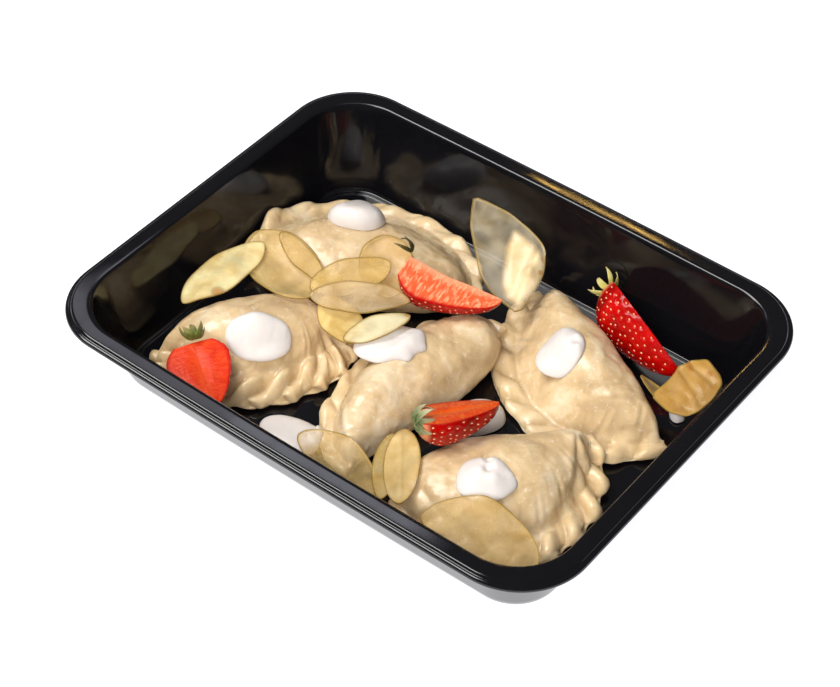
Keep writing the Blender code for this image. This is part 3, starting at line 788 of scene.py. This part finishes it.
# Each slice that stands or leans: its centre, the directions of its length and its width, and its outline
# as (share of its half length, low edge, high edge).
STOOD_SLICES = {
    "back_1": dict(centre=(-4.0, 53.8, 23.6), along=(0.77, -0.53, -0.35), across=(0.63, 0.73, 0.28),
                   length=50,
                   sides=[(-1.0, -5.2, -3.4), (-0.6, -9.8, 6.5), (-0.2, -10.8, 12.0), (0.05, -11.6, 14.6),
                          (0.2, -12.2, 15.0), (0.6, -10.2, 11.0), (1.0, -4.0, -0.4)],
                   folds=[(-20, -4, 20, 6, 6.0, 0.9)]),
    "back_2": dict(centre=(6.9, 51.4, 22.2), along=(0.66, -0.66, -0.35), across=(0.65, 0.70, 0.25),
                   length=33,
                   sides=[(-1.0, -2.5, -0.5), (-0.6, -6.5, 5.5), (-0.1, -8.5, 9.0), (0.3, -9.8, 7.0),
                          (0.66, -9.3, 3.0), (1.0, -5.0, -2.4)],
                   folds=[(-6, 8, 3, 2, 2.2, 2.4), (3, 2, 13, -4, 2.6, 1.9), (-10, -3, 6, -6, 3.2, 1.6)],
                   spots=[(-1.5, 8.2, 1.5), (3.5, 6.0, 1.3)]),
    "corner": dict(centre=(88.6, 45.0, 15.2), along=(0.75, 0.28, 0.60), across=(-0.28, 0.65, 0.70),
                   length=25,
                   sides=[(-1.0, -0.8, 1.2), (-0.7, -7.0, 6.0), (-0.3, -9.5, 9.8), (0.2, -8.5, 10.5),
                          (0.7, -5.5, 9.5), (1.0, -1.5, 2.5)],
                   folds=[(-3, 8, 3, -6, 1.6, 1.3), (2, 9, 9, 0, 1.3, 1.2), (-8, 0, -2, -7, 1.6, 0.8)],
                   spots=[(1.0, 9.0, 2.2), (8.0, 4.0, 1.6)]),
}
# How some slices differ from the common one: their clearness, their tint over the fruit's own colour, and
# whether a slice has no peel and melts into the one behind.
SLICE_LOOKS = {
    "back_1": dict(clear=0.68, tint=(0.78, 0.98, 1.9)),
    "back_2": dict(clear=0.12, tint=(1.06, 1.24, 2.1), melts=True),
    "corner": dict(clear=0.3, tint=(0.72, 0.60, 0.42)),
    "left_1": dict(clear=0.64, tint=(1.04, 1.1, 1.2)),
    "left_2": dict(clear=0.42, tint=(1.16, 1.4, 2.0)),
    "middle_2": dict(clear=0.55, tint=(1.0, 1.0, 0.9)),
    "middle_3": dict(clear=0.3, tint=(1.1, 1.2, 1.3)),
    "middle_4": dict(clear=0.35, tint=(1.08, 1.38, 2.4)),
    "middle_5": dict(clear=0.55, tint=(0.95, 1.03, 1.6)),
    "front_2": dict(clear=0.5, tint=(1.0, 1.08, 1.2)),
    "front_3": dict(clear=0.4, tint=(1.0, 1.08, 1.3)),
    "front_4": dict(clear=0.56, tint=(0.96, 1.0, 1.2)),
}


def slice_axes(centre, heading=None, along=None, across=None, **_):
    """The middle of a slice and the directions of its length, its width and its upper face."""
    if heading is not None:
        along = (math.cos(heading), math.sin(heading), 0)
        across = (-math.sin(heading), math.cos(heading), 0)
        centre = (*centre, 0)
    along = Vector(along).normalized()
    across = Vector(across)
    across = (across - along * across.dot(along)).normalized()
    out = along.cross(across)
    if out.z < 0:
        out = -out
    return np.array(centre, float), np.array(along), np.array(across), np.array(out)


def slice_edges(u, length, width=None, bow=0.0, sides=None, **_):
    """The low and high edges of a slice along its length: a pointed oval, or its own smoothed sides."""
    if sides is None:
        waver = 1 + 0.012 * np.sin(5 * u + length)
        half_width = width / 2 * ((1 - u * u).clip(0) ** TIP_ROUNDING).clip(0.03) * waver
        middle = bow * (1 - u * u)
        return middle - half_width, middle + half_width
    fine = np.linspace(-1, 1, 241)
    near = 8
    window = np.ones(2 * near + 1) / (2 * near + 1)
    at, low, high = np.array(sides, float).T
    edges = []
    for side in (low, high):
        line = np.interp(fine, at, side)
        for _ in range(3):
            line[near:-near] = np.convolve(line, window, "valid")
        edges.append(np.interp(u, fine, line))
    return edges


def from_line(plane, start_x, start_y, end_x, end_y):
    """Distance of points on a plane from a straight line between two places."""
    start, way = np.array([start_x, start_y]), np.array([end_x - start_x, end_y - start_y])
    share = ((plane - start) @ way / way.dot(way)).clip(0, 1)
    return np.linalg.norm(plane - start - share[:, None] * way, axis=1)


def dried_slice(name, node, bed, sizes):
    """A thin sheet that follows its CAD solid, and stays clear of what it lies on."""
    centre, along, across, out = slice_axes(**sizes)
    solid = Shape(NODES[node]).place - centre
    sites = np.column_stack([solid @ along, solid @ across])
    surface = thin_plate(sites[::3], (solid @ out)[::3], SLICE_SLACK)
    deselect()
    bpy.ops.mesh.primitive_grid_add(x_subdivisions=72, y_subdivisions=36, size=2.0)
    piece = named(name)
    shape = Shape(piece)
    u = -np.cos(math.pi * (shape.place[:, 0] * MM + 1) / 2)
    v = np.sin(math.pi / 2 * shape.place[:, 1] * MM)
    low, high = slice_edges(u, **sizes)
    plane = np.column_stack([u * sizes["length"] / 2, low + (high - low) * (v + 1) / 2])
    rise = surface(plane)
    edge = np.isclose(np.abs(v), 1) | np.isclose(np.abs(u), 1)
    from_edge = np.linalg.norm(plane[:, None] - plane[edge][None], axis=2).min(axis=1)
    rise += EDGE_CURL * (np.sin(0.35 * plane[:, 0] + centre[1]) * np.exp(-from_edge / CURL_REACH))
    crease = np.zeros(len(plane))
    for *line, width, height in sizes.get("folds", ()):
        ridge = hump(from_line(plane, *line), 0, width)
        rise += height * ridge
        crease = np.maximum(crease, ridge)
    spot = np.zeros(len(plane))
    for spot_x, spot_y, reach in sizes.get("spots", ()):
        gap = np.linalg.norm(plane - (spot_x, spot_y), axis=1)
        spot = np.maximum(spot, hump(gap, 0, reach))
    shape.place = centre + np.outer(plane[:, 0], along) + np.outer(plane[:, 1], across)
    shape.place += np.outer(rise, out)
    short = bed.heights(shape.place) + SLICE_CLEAR + SLICE_SHEET / 2 - shape.place[:, 2]
    shape.place[:, 2] += np.where(short < TALLEST_LIFT, short.clip(0), 0)
    shape.keep()
    for mark, values in (("from_edge", from_edge), ("crease", crease), ("spot", spot)):
        shape.note(mark, values)
    apply_modifier(piece, "SOLIDIFY", thickness=SLICE_SHEET * MM, offset=0.0)
    return piece


def slice_finish(name, settings, clear, tint, melts=False):
    """See-through dried fruit with a peel, yellower by its edge, browned in spots and pale on its folds."""
    finish = Finish(name, IOR=1.4)
    body_colour = tuple(min(0.95, part * shade) for part, shade in zip(settings.colour, tint))
    deep = tuple(part * share for part, share in zip(body_colour, (0.82, 0.74, 0.55)))
    pale = tuple(min(0.97, part * 1.06 + 0.06) for part in body_colour)
    body = finish.ramp(finish.noise(10, 3, 0.5, 0.6), (0.3, deep), (0.5, body_colour), (0.7, pale))
    edge_glow = finish.spread(finish.value("from_edge"), 0.2, 1.9, 1, 0)
    body = finish.tinted(body, (0.66, 0.42, 0.09), edge_glow, 0.4)
    crease = finish.spread(finish.value("crease"), 0.55, 0.98)
    body = finish.tinted(body, (0.86, 0.60, 0.22), crease, 0.2)
    spot = finish.spread(finish.value("spot"), 0.25, 0.8)
    body = finish.tinted(body, (0.52, 0.21, 0.03), spot, 0.75)
    rim = finish.spread(finish.value("from_edge"), 0.26, 0.5, 1, 0)
    peel = 0.0 if melts else 0.85
    finish.to("Base Color", finish.tinted(body, tuple(settings.peel), rim, peel))
    solid = finish.spread(finish.noise(9, 2), 0.3, 0.7, 0.82 - clear, 1.0 - clear)
    for mark, most in ((edge_glow, 0.5), (spot, 0.6), (rim, peel)):
        solid = finish.reckon("MAXIMUM", solid, finish.reckon("MULTIPLY", mark, most))
    if melts:
        fade = finish.spread(finish.value("from_edge"), 0.0, 3.6, 0.06, 1.0)
        solid = finish.reckon("MULTIPLY", solid, fade)
    finish.to("Alpha", solid)
    finish.to("Roughness", finish.spread(finish.noise(5, 2), 0.3, 0.7, 0.2, 0.36))
    skin = finish.bump(finish.noise(4.0, 3, 0.6, 1.0), 0.22)
    finish.to("Normal", finish.bump(finish.noise(0.6, 2), 0.03, after=skin))
    return finish.material


class PIEROGI_OT_slices(bpy.types.Operator):
    """Shapes the thin dried fruit slices"""
    bl_idname = "pierogi.slices"
    bl_label = "Dried fruit slices"

    def execute(self, context):
        settings = context.scene.pierogi_fruit
        common = slice_finish("dried_fruit", settings, settings.clearness, (1, 1, 1))
        bed = Bed(laid("tray_shell", "pierogi_", "cream_"))
        for key, sizes in (LAID_SLICES | STOOD_SLICES).items():
            node = f"fruit_slice_{key}"
            piece = dried_slice(f"{node}_dried", node, bed, sizes)
            look = SLICE_LOOKS.get(key)
            finish = slice_finish(f"dried_{key}", settings, **look) if look else common
            soften(piece, angle=60)
            settle_in(piece, finish, "dried_fruit", node)
        return {"FINISHED"}


# ---------------------------------------------------------------- strawberries

# Each cut piece, in millimetres: it runs from crown to tip, with skin on the side that skin points to.
# span is how far the skin goes round and deep how far it stands out, as a share of the radius.
BERRIES = {
    "strawberry_1": dict(crown=(-67.6, -54.8, 19.5), tip=(-43, -71, 15.5), skin=(-0.10, 0.20, -0.90),
                         radius=12, span=180, deep=0.45),
    "strawberry_2": dict(crown=(-26, 22, 30.5), tip=(12.5, 28.6, 26), skin=(0.05, -0.61, -0.79),
                         radius=15.5, span=90, deep=1.0),
    "strawberry_3": dict(crown=(23.5, -36.3, 18), tip=(41.6, -12.3, 18), skin=(0.27, -0.45, -0.85),
                         radius=12.8, span=180, deep=0.9),
    "strawberry_4": dict(crown=(36.9, 72.5, 12), tip=(78.3, 53.2, 9.3), skin=(-0.36, -0.88, 0.30),
                         radius=15.2, span=90, deep=1.0),
}
# How red each piece's cut flesh is, how much of it the pale rays cover, and their colour.
FLESH_LOOKS = {
    "strawberry_1": dict(flesh=(0.68, 0.035, 0.008), rays=0.3, ray=(0.88, 0.14, 0.030)),
    "strawberry_2": dict(flesh=(0.84, 0.110, 0.035), rays=0.75, ray=(0.94, 0.44, 0.24)),
    "strawberry_3": dict(flesh=(0.68, 0.050, 0.006), rays=0.5, ray=(0.86, 0.19, 0.020)),
    "strawberry_4": dict(flesh=(0.74, 0.080, 0.020), rays=0.5, ray=(0.90, 0.34, 0.14)),
}
SHOULDER = 0.28                  # where a strawberry is widest, as a share of its length
CORE_STANDS = 0.04               # how far the middle of the cut stands out, as a share of the radius
PIT_REACH, PIT_DEPTH = 0.85, 0.55
CORE_HOLLOW = 0.9                # depth of the hollow in the middle of the cut
AROUND, SKIN_LINES = 128, 40     # lines of the mesh: all the way round, and over half of the skin
SEED_SIZE = (0.28, 0.50, 0.22)   # half sizes, in millimetres
SEED_SUNK = 0.36
SEEDS_FROM, SEEDS_TO = 0.1, 0.95
SEED_ROW, SEED_SPAN = 0.9, 0.93  # a row's share of the spacing, and the rows' share of the skin


def berry_width(share):
    """Radius of a strawberry as a share of its widest, from the crown at 0 to the tip at 1."""
    upper = np.sqrt((1 - ((SHOULDER - share) / (SHOULDER * 1.25)) ** 2).clip(0))
    taper = ((share - SHOULDER) / (1 - SHOULDER)).clip(0, 1)
    lower = np.sqrt(1 - taper ** 2) * (1 - 0.22 * taper)
    return np.where(share < SHOULDER, upper, lower)


class Berry:
    """The axes and the surface of one cut strawberry."""

    def __init__(self, crown, tip, skin, radius, span, deep):
        self.crown, self.tip = np.array(crown, float), np.array(tip, float)
        self.length = np.linalg.norm(self.tip - self.crown)
        self.axis = (self.tip - self.crown) / self.length
        skin = np.array(skin, float)
        skin -= self.axis * skin.dot(self.axis)
        self.skin = skin / np.linalg.norm(skin)
        self.side = np.cross(self.axis, self.skin)
        self.radius, self.half_span, self.deep = radius, math.radians(span) / 2, deep

    def place(self, share, angle, reach):
        """Points at a share of the length, an angle from the skin's middle and a share of the radius."""
        wide = self.radius * berry_width(share) * reach
        outwards = np.outer(self.deep * np.cos(angle) * wide, self.skin)
        sideways = np.outer(np.sin(angle) * wide, self.side)
        core = np.outer((1 - reach) * CORE_STANDS * self.radius, self.skin)
        return self.crown + np.outer(share * self.length, self.axis) + (outwards + sideways) - core


def seed_grid(berry, spacing):
    """Where the seeds sit on the skin, in staggered rows: shares of the length and angles."""
    shares, angles = [], []
    row = 0
    share = SEEDS_FROM
    while share < SEEDS_TO:
        wide = float(berry.radius * berry_width(np.array([share]))[0])
        count = max(1, int(2 * berry.half_span * wide / spacing))
        for step in range(count):
            angle = ((step + 0.5 + 0.5 * (row % 2)) / count - 0.5) * 2 * berry.half_span
            if abs(angle) < berry.half_span * SEED_SPAN:
                shares.append(share + 0.012 * math.sin(7.0 * step + 3.0 * row))
                angles.append(angle + 0.05 * math.sin(5.0 * step + row))
        share += SEED_ROW * spacing / berry.length
        row += 1
    return np.array(shares), np.array(angles)


def berry_mesh(name, berry, seeds):
    """One cut strawberry: skin with a pit for each seed, and a cut face with a hollow core."""
    deselect()
    bpy.ops.mesh.primitive_uv_sphere_add(segments=AROUND, ring_count=90, radius=1.0)
    piece = named(name)
    shape = Shape(piece)
    ball = shape.place * MM
    share = (1 - ball[:, 2]) / 2
    turn = np.arctan2(ball[:, 1], ball[:, 0])
    lines = np.abs(turn) / (2 * math.pi) * AROUND
    cut = ((lines - SKIN_LINES) / (AROUND / 2 - SKIN_LINES)).clip(0, 1)
    angle = np.sign(turn) * (lines / SKIN_LINES).clip(0, 1) * berry.half_span
    reach = 1 - cut
    shape.place = berry.place(share, angle, reach)
    pit = np.zeros(len(share))
    on_skin = cut <= 0
    for seed in seeds:
        gap = np.linalg.norm(shape.place - seed, axis=1)
        pit = np.maximum(pit, hump(gap, 0, PIT_REACH))
    pit *= on_skin
    inwards = berry.crown + np.outer(share * berry.length, berry.axis) - shape.place
    inwards /= np.maximum(np.linalg.norm(inwards, axis=1), TINY)[:, None]
    shape.place += inwards * (PIT_DEPTH * pit)[:, None]
    hollow = hump(reach, 0, 0.22) * hump(share, 0.4, 0.25) * (cut > 0)
    shape.place += np.outer(CORE_HOLLOW * hollow, berry.skin)
    shape.keep()
    marks = {"cut": (cut > 0).astype(float), "reach": reach, "share": share, "around": angle, "pit": pit}
    for mark, values in marks.items():
        shape.note(mark, values)
    return piece


def seed_mesh(name, berry, places, lift):
    """Small pointed seeds, one in each pit, joined into one piece."""
    deselect()
    bpy.ops.mesh.primitive_uv_sphere_add(segments=8, ring_count=5, radius=1.0)
    pattern = bpy.context.object
    grain = np.array([vert.co for vert in pattern.data.vertices])
    faces = [list(face.vertices) for face in pattern.data.polygons]
    bpy.data.objects.remove(pattern)
    grain = grain * SEED_SIZE
    grain[:, 0] *= 1 - 0.35 * grain[:, 1]
    points, polygons = [], []
    for place in places:
        middle = berry.crown + berry.axis * (place - berry.crown).dot(berry.axis)
        out = (place - middle) / np.linalg.norm(place - middle)
        across = np.cross(berry.axis, out)
        across /= np.linalg.norm(across)
        along = np.cross(out, across)
        start = len(points)
        points.extend(place - out * SEED_SUNK + lift + grain @ np.array([across, along, out]))
        polygons.extend([[start + index for index in face] for face in faces])
    mesh = bpy.data.meshes.new(name)
    mesh.from_pydata([tuple(point * MM) for point in points], [], polygons)
    piece = bpy.data.objects.new(name, mesh)
    bpy.context.scene.collection.objects.link(piece)
    return piece


def berry_finish(name, settings, flesh, rays, ray):
    """Glossy red skin, paler at the neck, and cut flesh with pale rays and darker patches."""
    finish = Finish(name, IOR=1.36, Coat_Roughness=0.1)
    reach, share, cut = finish.value("reach"), finish.value("share"), finish.value("cut")
    skin = finish.ramp(finish.noise(9, 3), (0.3, tuple(0.55 * part for part in settings.skin)),
                       (0.7, tuple(min(1, 1.3 * part) for part in settings.skin)))
    skin = finish.tinted(skin, (0.62, 0.02, 0.01), finish.value("pit"), 0.3)
    neck = finish.spread(share, 0.02, 0.09, 0.85, 0)
    skin = finish.blend(neck, skin, (0.85, 0.30, 0.14))
    lines = finish.joined(finish.reckon("MULTIPLY", share, 0.030), finish.reckon("MULTIPLY", reach, 0.0035),
                          finish.reckon("MULTIPLY", finish.value("around"), 0.004))
    grain = finish.noise(1, 3, 0.6, 0.3, where=lines)
    streak = finish.spread(grain, 0.44, 0.66)
    flesh = finish.tinted(flesh, ray, streak, rays)
    patches = finish.spread(finish.noise(7, 3, 0.55, 0.5), 0.48, 0.68)
    flesh = finish.tinted(flesh, (0.42, 0.008, 0.003), patches, 0.55 * (1 - rays))
    uneven = finish.reckon("ADD", reach, finish.reckon("MULTIPLY", finish.noise(3, 2), 0.25))
    flesh = finish.tinted(flesh, ray, finish.spread(uneven, 0.15, 0.5, 1, 0), 0.7 * rays)
    rim = finish.spread(reach, 0.84, 0.985)
    flesh = finish.blend(rim, flesh, tuple(settings.skin))
    finish.to("Base Color", finish.blend(cut, skin, flesh))
    finish.to("Coat Weight", finish.reckon("SUBTRACT", 0.16, finish.reckon("MULTIPLY", cut, 0.12)))
    finish.to("Specular IOR Level", finish.reckon("SUBTRACT", 0.4, finish.reckon("MULTIPLY", cut, 0.26)))
    finish.to("Roughness", finish.spread(finish.noise(4, 2), 0.3, 0.7, 0.16, 0.28))
    dimples = finish.bump(finish.noise(1.4, 3, 0.6), 0.15)
    finish.to("Normal", finish.bump(finish.reckon("MULTIPLY", grain, cut), 0.2, after=dimples))
    return finish.material


def seed_finish():
    """Pale, dry seeds."""
    finish = Finish("strawberry_seed", Roughness=0.4, IOR=1.45)
    finish.to("Base Color", finish.ramp(finish.noise(1.2, 2), (0.35, (0.76, 0.32, 0.14)),
                                        (0.65, (0.93, 0.60, 0.36))))
    return finish.material


class PIEROGI_OT_strawberries(bpy.types.Operator):
    """Models the cut strawberries and their seeds"""
    bl_idname = "pierogi.strawberries"
    bl_label = "Strawberries"

    def execute(self, context):
        settings = context.scene.pierogi_berry
        grain = seed_finish()
        for node, sizes in BERRIES.items():
            berry = Berry(**sizes)
            shares, angles = seed_grid(berry, settings.seed_spacing / MM)
            seeds = berry.place(shares, angles, np.ones(len(shares)))
            piece = berry_mesh(f"{node}_flesh", berry, seeds)
            shape = Shape(piece)
            lift = np.array([0, 0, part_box(node)[0].z / MM - shape.place[:, 2].min()])
            shape.place += lift
            shape.keep()
            soften(piece, angle=40)
            settle_in(piece, berry_finish(f"{node}_fruit", settings, **FLESH_LOOKS[node]), "berry", node)
            grains = seed_mesh(f"{node}_seeds", berry, seeds, lift)
            soften(grains)
            settle_in(grains, grain, "berry")
        return {"FINISHED"}


# ---------------------------------------------------------------- leaf crowns

# Each crown of sepals: the middle direction of its fan, the sepals' length and width in millimetres, their
# number, the fan's spread in degrees, how strongly they curl back along the stem, how far the crown is
# moved from the middle of its solid, and which tone it has.
CROWNS = {
    "leaf_crown_1": dict(berry="strawberry_1", towards=(-0.5, 0.4, 0.8), reach=7.8, leaves=5, spread=200,
                         curl=1.2, wide=2.8, nudge=(-0.5, 1.0, -1.0), tone="brown"),
    "leaf_crown_2": dict(berry="strawberry_2", towards=(-0.5, 0.3, 0.8), reach=8.5, leaves=4, spread=190,
                         curl=1.1, wide=1.6, nudge=(-1.0, 0.5, -1.0), tone="dark"),
    "leaf_crown_3": dict(berry="strawberry_3", towards=(0.3, -0.5, 0.8), reach=9.5, leaves=6, spread=220,
                         curl=-1.1, wide=4.0, nudge=(3.5, 1.5, -1.0), tone="grey"),
    "leaf_crown_4": dict(berry="strawberry_4", towards=(-0.3, -0.6, 0.7), reach=10.5, leaves=5, spread=270,
                         curl=1.3, wide=2.6, nudge=(-1.2, 0, 2.0), tone="olive"),
}
SEPAL_SHEET = 0.35               # thickness of a sepal, in millimetres
# The young and the withered colour of each crown's sepals.
LEAF_TONES = {
    "brown": ((0.07, 0.09, 0.02), (0.30, 0.24, 0.09)),
    "dark": ((0.025, 0.03, 0.008), (0.14, 0.11, 0.04)),
    "grey": ((0.10, 0.12, 0.05), (0.42, 0.38, 0.22)),
    "olive": ((0.26, 0.24, 0.06), (0.62, 0.52, 0.22)),
}


def sepal(length, width, curl, twist):
    """One pointed leaf along +X, cupped across and curled along, in millimetres."""
    deselect()
    bpy.ops.mesh.primitive_grid_add(x_subdivisions=11, y_subdivisions=5, size=2.0)
    leaf = bpy.context.object
    shape = Shape(leaf)
    along = (shape.place[:, 0] * MM + 1) / 2
    across = shape.place[:, 1] * MM
    wide = width / 2 * np.sin(math.pi * (0.12 + 0.88 * along) ** 0.8).clip(0.02) ** 0.85
    bend = curl * along * 1.6
    step = np.maximum(along, TINY) * length * np.sinc(bend / 2 / math.pi)
    x = step * np.cos(bend / 2)
    z = step * np.sin(bend / 2) + 0.35 * wide * across ** 2 + 0.25 * np.sin(9 * along + twist) * across
    y = across * wide + 0.5 * np.sin(3 * along + twist) * along
    shape.place = np.stack([x, y, z], axis=1)
    shape.keep()
    shape.note("along", along)
    apply_modifier(leaf, "SOLIDIFY", thickness=SEPAL_SHEET * MM, offset=0.0)
    refine(leaf, 1)
    return leaf


def leaf_finish(tone):
    """A sepal that is young by the stem and withered towards its tip."""
    young, withered = LEAF_TONES[tone]
    finish = Finish(f"strawberry_sepal_{tone}", Roughness=0.5, IOR=1.4, Subsurface_Weight=0.1,
                    Subsurface_Scale=0.001)
    along = finish.value("along")
    green = finish.ramp(finish.noise(2.5, 3), (0.3, young), (0.7, tuple(2.2 * part for part in young)))
    uneven = finish.reckon("ADD", along, finish.reckon("MULTIPLY", finish.noise(2), 0.5))
    finish.to("Base Color", finish.blend(finish.spread(uneven, 0.55, 1.2), green, withered))
    finish.to("Normal", finish.bump(finish.noise(0.7, 3), 0.12))
    return finish.material


def crown_mesh(name, node, berry, towards, reach, leaves, spread, curl, wide, nudge):
    """A fan of sepals, set where the CAD has the crown."""
    back = -berry.axis
    towards = np.array(towards, float)
    towards -= back * towards.dot(back)
    towards /= np.linalg.norm(towards)
    side = np.cross(back, towards)
    parts = []
    for step in range(leaves):
        turn = math.radians(spread) * ((step + 0.5) / leaves - 0.5)
        leaf = sepal(length=reach * (1 + 0.16 * math.sin(2.7 * step + 1)),
                     width=wide * (1 + 0.2 * math.sin(3.3 * step)),
                     curl=curl * (1 + 0.4 * math.sin(4.1 * step)), twist=1.7 * step)
        shape = Shape(leaf)
        out = towards * math.cos(turn) + side * math.sin(turn)
        shape.place = shape.place @ np.array([out, np.cross(back, out), back])
        shape.keep()
        parts.append(leaf)
    pick(parts[0])
    for leaf in parts:
        leaf.select_set(True)
    bpy.ops.object.join()
    crown = named(name)
    low, high = (np.array(corner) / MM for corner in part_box(node))
    shape = Shape(crown)
    shape.place += (low + high) / 2 - (shape.place.min(axis=0) + shape.place.max(axis=0)) / 2 + nudge
    shape.keep()
    return crown


class PIEROGI_OT_crowns(bpy.types.Operator):
    """Models the sepals at the stem end of each strawberry"""
    bl_idname = "pierogi.crowns"
    bl_label = "Strawberry leaves"

    def execute(self, context):
        for node, fan in CROWNS.items():
            sizes = dict(fan)
            leaf = leaf_finish(sizes.pop("tone"))
            berry = Berry(**BERRIES[sizes.pop("berry")])
            crown = crown_mesh(f"{node}_sepals", node, berry, **sizes)
            soften(crown)
            settle_in(crown, leaf, "leaf", node)
        return {"FINISHED"}


# ---------------------------------------------------------------- stage

# The soft lights: where each stands and what it is turned to, in metres, its size, its power in watts or
# the setting that holds it, its colour, and the kind of ray that doesn't see it.
LIGHTS = {
    "key_soft": dict(place=(-0.66, -0.22, 1.30), target=(0, 0, 0), size=(0.75, 0.75), power="key",
                     colour=(1.0, 0.985, 0.96)),
    "card_long": dict(place=(-0.278, 0.146, 0.380), target=(0, -0.085, 0.036), size=(0.33, 0.05),
                      power=0.092, colour=(0.88, 0.88, 1.0), hidden="diffuse"),
    "card_short": dict(place=(-0.185, 0.152, 0.390), target=(0, -0.085, 0.036), size=(0.12, 0.04),
                       power=0.02, colour=(0.88, 0.88, 1.0), hidden="diffuse"),
    "warm_glint": dict(place=(-0.163, 0.386, 0.346), target=(0.02, 0.085, 0.036), size=(0.085, 0.006),
                       power=0.05, colour=(1.0, 0.6, 0.16), hidden="diffuse"),
    "fill_soft": dict(place=(0.45, -1.05, 0.95), target=(0, 0, 0), size=(0.9, 0.9), power="fill",
                      colour=(1.0, 0.99, 0.98), hidden="glossy"),
}
CAMERA_PLACE = (0.35298, -0.46862, 0.60594)     # metres
CAMERA_TURN = (44.987, -0.685, 37.958)          # degrees
SENSOR_WIDTH = 36                               # millimetres
FLOOR_SIZE, FLOOR_DROP = 8.0, 0.0002            # metres


def area_light(name, settings, place, target, size, power, colour, hidden=None):
    """A soft rectangle of light with its long side level, turned to its target."""
    light = bpy.data.lights.new(name, "AREA")
    light.shape = "RECTANGLE"
    light.size, light.size_y = size
    light.energy = getattr(settings, power) if isinstance(power, str) else power
    light.color = colour
    lamp = bpy.data.objects.new(name, light)
    bpy.context.scene.collection.objects.link(lamp)
    lamp.location = place
    back = (Vector(place) - Vector(target)).normalized()
    along = (Vector((1, 0, 0)) - back * back.x).normalized()
    lamp.rotation_euler = Matrix((along, back.cross(along), back)).transposed().to_euler()
    lamp.visible_camera = False
    if hidden:
        setattr(lamp, f"visible_{hidden}", False)


def paper_finish():
    """A pale floor that also gives off light, so that it stays even all over."""
    finish = Finish("stage_paper", Roughness=0.9, Emission_Strength=0.86)
    finish.shader.inputs["Emission Color"].default_value = (0.985, 0.975, 1.0, 1)
    finish.to("Base Color", finish.ramp(finish.noise(400, 1), (0.4, (0.40, 0.40, 0.42)),
                                        (0.6, (0.42, 0.42, 0.43))))
    return finish.material


class PIEROGI_OT_stage(bpy.types.Operator):
    """Sets up the floor, the soft lights and the camera"""
    bl_idname = "pierogi.stage"
    bl_label = "Stage"

    def execute(self, context):
        scene, settings = context.scene, context.scene.pierogi_stage
        deselect()
        bpy.ops.mesh.primitive_grid_add(x_subdivisions=4, y_subdivisions=4, size=FLOOR_SIZE,
                                        location=(0, 0, -FLOOR_DROP))
        floor = named("stage_floor")
        floor.data.materials.append(paper_finish())

        world = bpy.data.worlds.new("studio")
        world.use_nodes = True
        backdrop = world.node_tree.nodes["Background"]
        backdrop.inputs["Color"].default_value = (0.93, 0.94, 1.0, 1)
        backdrop.inputs["Strength"].default_value = settings.sky
        scene.world = world
        for name, light in LIGHTS.items():
            area_light(name, settings, **light)

        camera = bpy.data.cameras.new("camera")
        camera.sensor_width = SENSOR_WIDTH
        camera.lens = settings.lens
        camera.clip_start, camera.clip_end = 0.01, 50
        view = bpy.data.objects.new("camera", camera)
        scene.collection.objects.link(view)
        view.location = CAMERA_PLACE
        view.rotation_euler = [math.radians(angle) for angle in CAMERA_TURN]
        scene.camera = view
        scene.view_settings.view_transform = "Standard"
        return {"FINISHED"}


# ---------------------------------------------------------------- add-on

class PIEROGI_PT_panel(bpy.types.Panel):
    """Lists the steps that dress the tray meal, with their settings"""
    bl_label = "Pierogi Tray"
    bl_idname = "PIEROGI_PT_panel"
    bl_space_type = "VIEW_3D"
    bl_region_type = "UI"
    bl_category = "Pierogi Tray"

    def draw(self, context):
        for step, group in STEPS:
            box = self.layout.box()
            box.operator(step.bl_idname)
            if group:
                settings = getattr(context.scene, group)
                for name in settings.__annotations__:
                    box.prop(settings, name)


STEPS = (
    (PIEROGI_OT_tray, "pierogi_tray"),
    (PIEROGI_OT_dumplings, "pierogi_dough"),
    (PIEROGI_OT_cream, "pierogi_cream"),
    (PIEROGI_OT_slices, "pierogi_fruit"),
    (PIEROGI_OT_strawberries, "pierogi_berry"),
    (PIEROGI_OT_crowns, None),
    (PIEROGI_OT_stage, "pierogi_stage"),
)
GROUPS = {
    "pierogi_tray": TraySettings,
    "pierogi_dough": DoughSettings,
    "pierogi_cream": CreamSettings,
    "pierogi_fruit": FruitSettings,
    "pierogi_berry": BerrySettings,
    "pierogi_stage": StageSettings,
}
CLASSES = (*GROUPS.values(), *(step for step, _ in STEPS), PIEROGI_PT_panel)


def register():
    for kind in CLASSES:
        bpy.utils.register_class(kind)
    for name, kind in GROUPS.items():
        setattr(bpy.types.Scene, name, bpy.props.PointerProperty(type=kind))


def unregister():
    for name in GROUPS:
        delattr(bpy.types.Scene, name)
    for kind in reversed(CLASSES):
        bpy.utils.unregister_class(kind)


def main():
    register()
    bpy.ops.pierogi.tray()
    bpy.ops.pierogi.dumplings()
    bpy.ops.pierogi.cream()
    bpy.ops.pierogi.slices()
    bpy.ops.pierogi.strawberries()
    bpy.ops.pierogi.crowns()
    bpy.ops.pierogi.stage()


if __name__ == "__main__":
    main()
